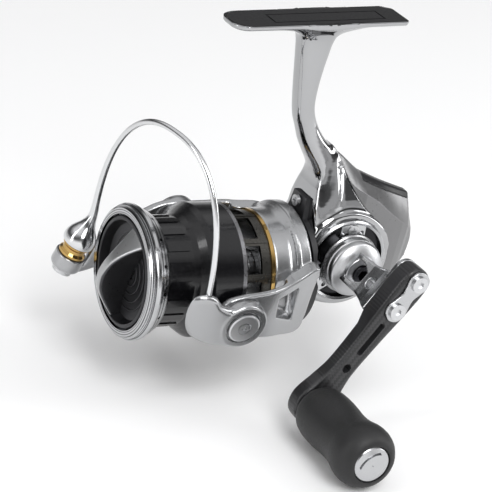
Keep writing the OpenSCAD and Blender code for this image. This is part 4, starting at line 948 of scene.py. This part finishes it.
def fork_field(x, y, z):
    fork = soft_max(FORK_SIDE(y, z), FORK_TOP(x, y), 0.9)
    pad_flat = np.minimum(np.maximum(np.abs(x) - 4.4, np.abs(z - 7.45) - 2.45), np.hypot(x, z - 9.9) - 4.4)
    pad = thick(pad_flat, -y, 37, 38.6, 0.25)
    fork = soft_min(fork, pad, 0.5)
    fork = carve(fork, rod_along(x, z, 5.9, -y, 19, 22.8, 0.05), rod_along(x, z, 3.6, -y, 19, 23.7, 0.05))
    fork = soft_max(fork, -FORK_GAP(y, z), 0.4)
    fork = soft_max(fork, 1.9 - np.hypot(y + 32.4, z), 0.3)
    return carve(fork, *[rod_along(x, z - at, SCREW_BORE, -y, 37, 40, 0.02) for at in SCREWS_AT])

fork = cast_piece("crank_fork", fork_field, (-5.6, -38.8, -8), (5.6, -20.8, 14.5), 0.28, CRANK)
dress(fork, "crank", "satin_alloy", "crank_yoke")

# %% Cap over the hub, and the foam grip
cap_profile = [(3.4, 15), (9.45, 15), (9.65, 15.25), (9.65, 16.9), (9.3, 17.1), (9.3, 17.5), (9.62, 17.7),
               (9.6, 18.5), (9.35, 19.15), (8.9, 19.65), (6.35, 20.8), (5.9, 21), (5.9, 22.6), (5.7, 22.8),
               (3.4, 22.8), (3.4, 15)]
cap = build_piece("hub_dome", *spin(cap_profile, "Y", 128), DRIVE, 30)
dress(cap, "crank", "satin_alloy", "hub_cap", finish="turned_alloy")

GRIP_FROM, GRIP_TO = 47.0, 83.3       # outwards from the shaft
# radius, then distance from the inner end, and for the tip from the outer end
GRIP = [(4, 0), (6, 0), (6.9, 0.25), (7.6, 0.8), (8.3, 1.8), (8.8, 3), (9.2, 5.2), (9.38, 8), (9.38, 11),
        (9.2, 14), (9.0, 16.6), (8.92, 19), (9.0, 21), (9.3, 23.6), (9.75, 25.6), (10.2, 27.4), (10.38, 29),
        (10.38, 30.6), (10.15, 32), (9.8, 33.2)]
TIP = [(9.3, 2.2), (8.7, 1.2), (7.9, 0.5), (7.2, 0.15), (6.5, 0), (6.32, 0), (6.3, 0.2), (6.3, 1.8),
       (4, 1.8)]
grip_profile = [*[(r, GRIP_FROM + d) for r, d in GRIP], *[(r, GRIP_TO - d) for r, d in TIP],
                (4, GRIP_FROM)]
grip = build_piece("foam_grip", *spin(grip_profile, "Y", 112), KNOB, 40)
dress(grip, "knob", "knob_foam", "knob_grip")

# %% [markdown]
# ## Drag knob
# The knob is a dish with a grip bar that arches across it from rim to rim, and whose ends run
# into the dish's wall. The bar is a piece of its own, cast, and the dish is a turned profile.

# %% Dish and bar
BAR_HALF = curve_through([(0, 1.75), (6, 1.95), (10, 2.6), (13.6, 3.7), (16.6, 5)])
BAR_RISE = curve_through([(0, 7.9), (5.3, 6.85), (10, 4.6), (14.3, 1.7), (16.6, 0)])
DISH_FLOOR = -48.8

def bar_field(x, y, z):
    """in the works frame, turned so that z runs along the bar"""
    reach = np.hypot(y, z)
    run = np.abs(z)
    half = np.interp(run, BAR_HALF[:, 0], BAR_HALF[:, 1])
    crest = -52 - np.interp(reach, BAR_RISE[:, 0], BAR_RISE[:, 1])
    bar = soft_max(np.abs(y) - half, crest - x, 1.1)
    room = np.maximum(reach - np.interp(x, [-52, DISH_FLOOR], [16.6, 15.6]), x - DISH_FLOOR)
    return np.maximum(bar * 0.96, room)

bar = cast_piece("grip_bar", bar_field, (-60.3, -5.4, -16.8), (DISH_FLOOR, 5.4, 16.8), 0.25,
                 WORKS @ turn(BAR_TURN, "X"), 44)
dress(bar, "drag_adjuster", "bar_metal", "drag_bar")

# %% The dish
dish = [(2.6, DISH_FLOOR), (15.3, DISH_FLOOR), (15.6, DISH_FLOOR - 0.15), (16.5, -51.4), (16.65, -51.85),
        (16.9, -52), (17.5, -52), (17.85, -51.8), (18, -51.4), (18, -47.5), (9.6, -47.5), (9.6, -43.1),
        (2.6, -43.1), (2.6, DISH_FLOOR)]
knob = build_piece("dial_dish", *spin(dish, "X", 128), WORKS, 30)
dress(knob, "drag_adjuster", "knob_grey", "drag_knob")

# %% [markdown]
# ## Rings and ribs by Geometry Nodes
# Two small node trees make what repeats: one lays round ribs in the dish, the other sets bars
# round the shaft, for the spool's arbor and for the rotor's drum. Their numbers are named
# inputs of the modifier, and the result is turned into a plain mesh.

# %% Helpers for a node tree
def node_tree(name, numbers):
    tree = bpy.data.node_groups.new(name, "GeometryNodeTree")
    tree.interface.new_socket("Geometry", in_out="OUTPUT", socket_type="NodeSocketGeometry")
    for label, value in numbers.items():
        kind = "NodeSocketInt" if isinstance(value, int) else "NodeSocketFloat"
        tree.interface.new_socket(label, in_out="INPUT", socket_type=kind).default_value = value
    tree.interface.new_socket("Finish", in_out="INPUT", socket_type="NodeSocketMaterial")
    return tree, tree.nodes.new("NodeGroupInput"), tree.nodes.new("NodeGroupOutput")

def end_tree(tree, given, out, geometry):
    paint = add_node(tree, "GeometryNodeSetMaterial", {"Geometry": geometry,
                                                       "Material": given.outputs["Finish"]})
    tree.links.new(paint.outputs[0], out.inputs[0])

def grow(name, tree, numbers, finish, place):
    """runs a node tree on an empty mesh and keeps the result as a plain mesh in its place"""
    holder = add_object(name + "_holder", bpy.data.meshes.new(name + "_holder"))
    modifier = holder.modifiers.new("grow", "NODES")
    modifier.node_group = tree
    for item in tree.interface.items_tree:
        if item.item_type == "SOCKET" and item.in_out == "INPUT":
            modifier[item.identifier] = finish if item.name == "Finish" else numbers[item.name]
    bpy.context.view_layer.update()
    grown = holder.evaluated_get(bpy.context.evaluated_depsgraph_get())
    mesh = bpy.data.meshes.new_from_object(grown)
    bpy.data.objects.remove(holder)
    mesh.name = name
    scale = Matrix.Diagonal((0.001, 0.001, 0.001, 1))
    mesh.transform(scale @ place)
    return add_smooth(name, mesh, 35)

# %% Round ribs
NUMBERS = {"Count": 4, "First": 4.5, "Step": 2.6, "Rib": 0.34}
tree, given, out = node_tree("round_ribs", NUMBERS)
line = add_node(tree, "GeometryNodeMeshLine", {"Count": given.outputs["Count"]}, mode="OFFSET")
line.inputs["Offset"].default_value = (0, 0, 0)
circle = add_node(tree, "GeometryNodeCurvePrimitiveCircle", {"Resolution": 96, "Radius": 1.0})
copies = add_node(tree, "GeometryNodeInstanceOnPoints", {
    "Points": line.outputs[0], "Instance": circle.outputs["Curve"]})
index = add_node(tree, "GeometryNodeInputIndex")
radius = add_node(tree, "ShaderNodeMath", {
    0: index.outputs[0], 1: given.outputs["Step"], 2: given.outputs["First"]}, operation="MULTIPLY_ADD")
tree.links.new(radius.outputs[0], copies.inputs["Scale"])
real = add_node(tree, "GeometryNodeRealizeInstances", {"Geometry": copies.outputs[0]})
section = add_node(tree, "GeometryNodeCurvePrimitiveCircle", {
    "Resolution": 12, "Radius": given.outputs["Rib"]})
tube = add_node(tree, "GeometryNodeCurveToMesh", {
    "Curve": real.outputs[0], "Profile Curve": section.outputs["Curve"]})
end_tree(tree, given, out, tube.outputs[0])
rings = grow("dish_ribs", tree, NUMBERS, FINISH["knob_grey"],
             WORKS @ shift(DISH_FLOOR + 0.05, 0, 0) @ turn(90, "Y"))
dress(rings, "drag_adjuster", "knob_grey")

# %% Bars round the shaft
ARBOR = {"Count": 18, "Radius": 17.6, "Long": 7.6, "Wide": 2.6, "Deep": 0.7}
DRUM = {"Count": 10, "Radius": 18.6, "Long": 9.4, "Wide": 0.9, "Deep": 1.0}
tree, given, out = node_tree("bars_round", ARBOR)
circle = add_node(tree, "GeometryNodeMeshCircle", {
    "Vertices": given.outputs["Count"], "Radius": given.outputs["Radius"]})
size = add_node(tree, "ShaderNodeCombineXYZ", {
    0: given.outputs["Deep"], 1: given.outputs["Wide"], 2: given.outputs["Long"]})
brick = add_node(tree, "GeometryNodeMeshCube", {"Size": size.outputs[0]})
spot = add_node(tree, "GeometryNodeInputPosition")
face_out = add_node(tree, "FunctionNodeAlignRotationToVector", {"Vector": spot.outputs[0]}, axis="X")
copies = add_node(tree, "GeometryNodeInstanceOnPoints", {
    "Points": circle.outputs[0], "Instance": brick.outputs[0], "Rotation": face_out.outputs[0]})
real = add_node(tree, "GeometryNodeRealizeInstances", {"Geometry": copies.outputs[0]})
end_tree(tree, given, out, real.outputs[0])
ribs = grow("arbor_ribs", tree, ARBOR, FINISH["spool_black"],
            WORKS @ shift(-39.6, 0, 0) @ turn(90, "Y"))
dress(ribs, "spool", "spool_black")
struts = grow("drum_struts", tree, DRUM, FINISH["gunmetal"],
              ROTOR @ shift(-12.6, 0, 0) @ turn(26, "X") @ turn(90, "Y"))
dress(struts, "rotor", "gunmetal")

# %% [markdown]
# ## Size
# The box of the imported solids is printed, in millimetres.

# %% Print the solids' box
print("solids:", [round(v * 1000, 1) for v in (*solid_low, *solid_high)])
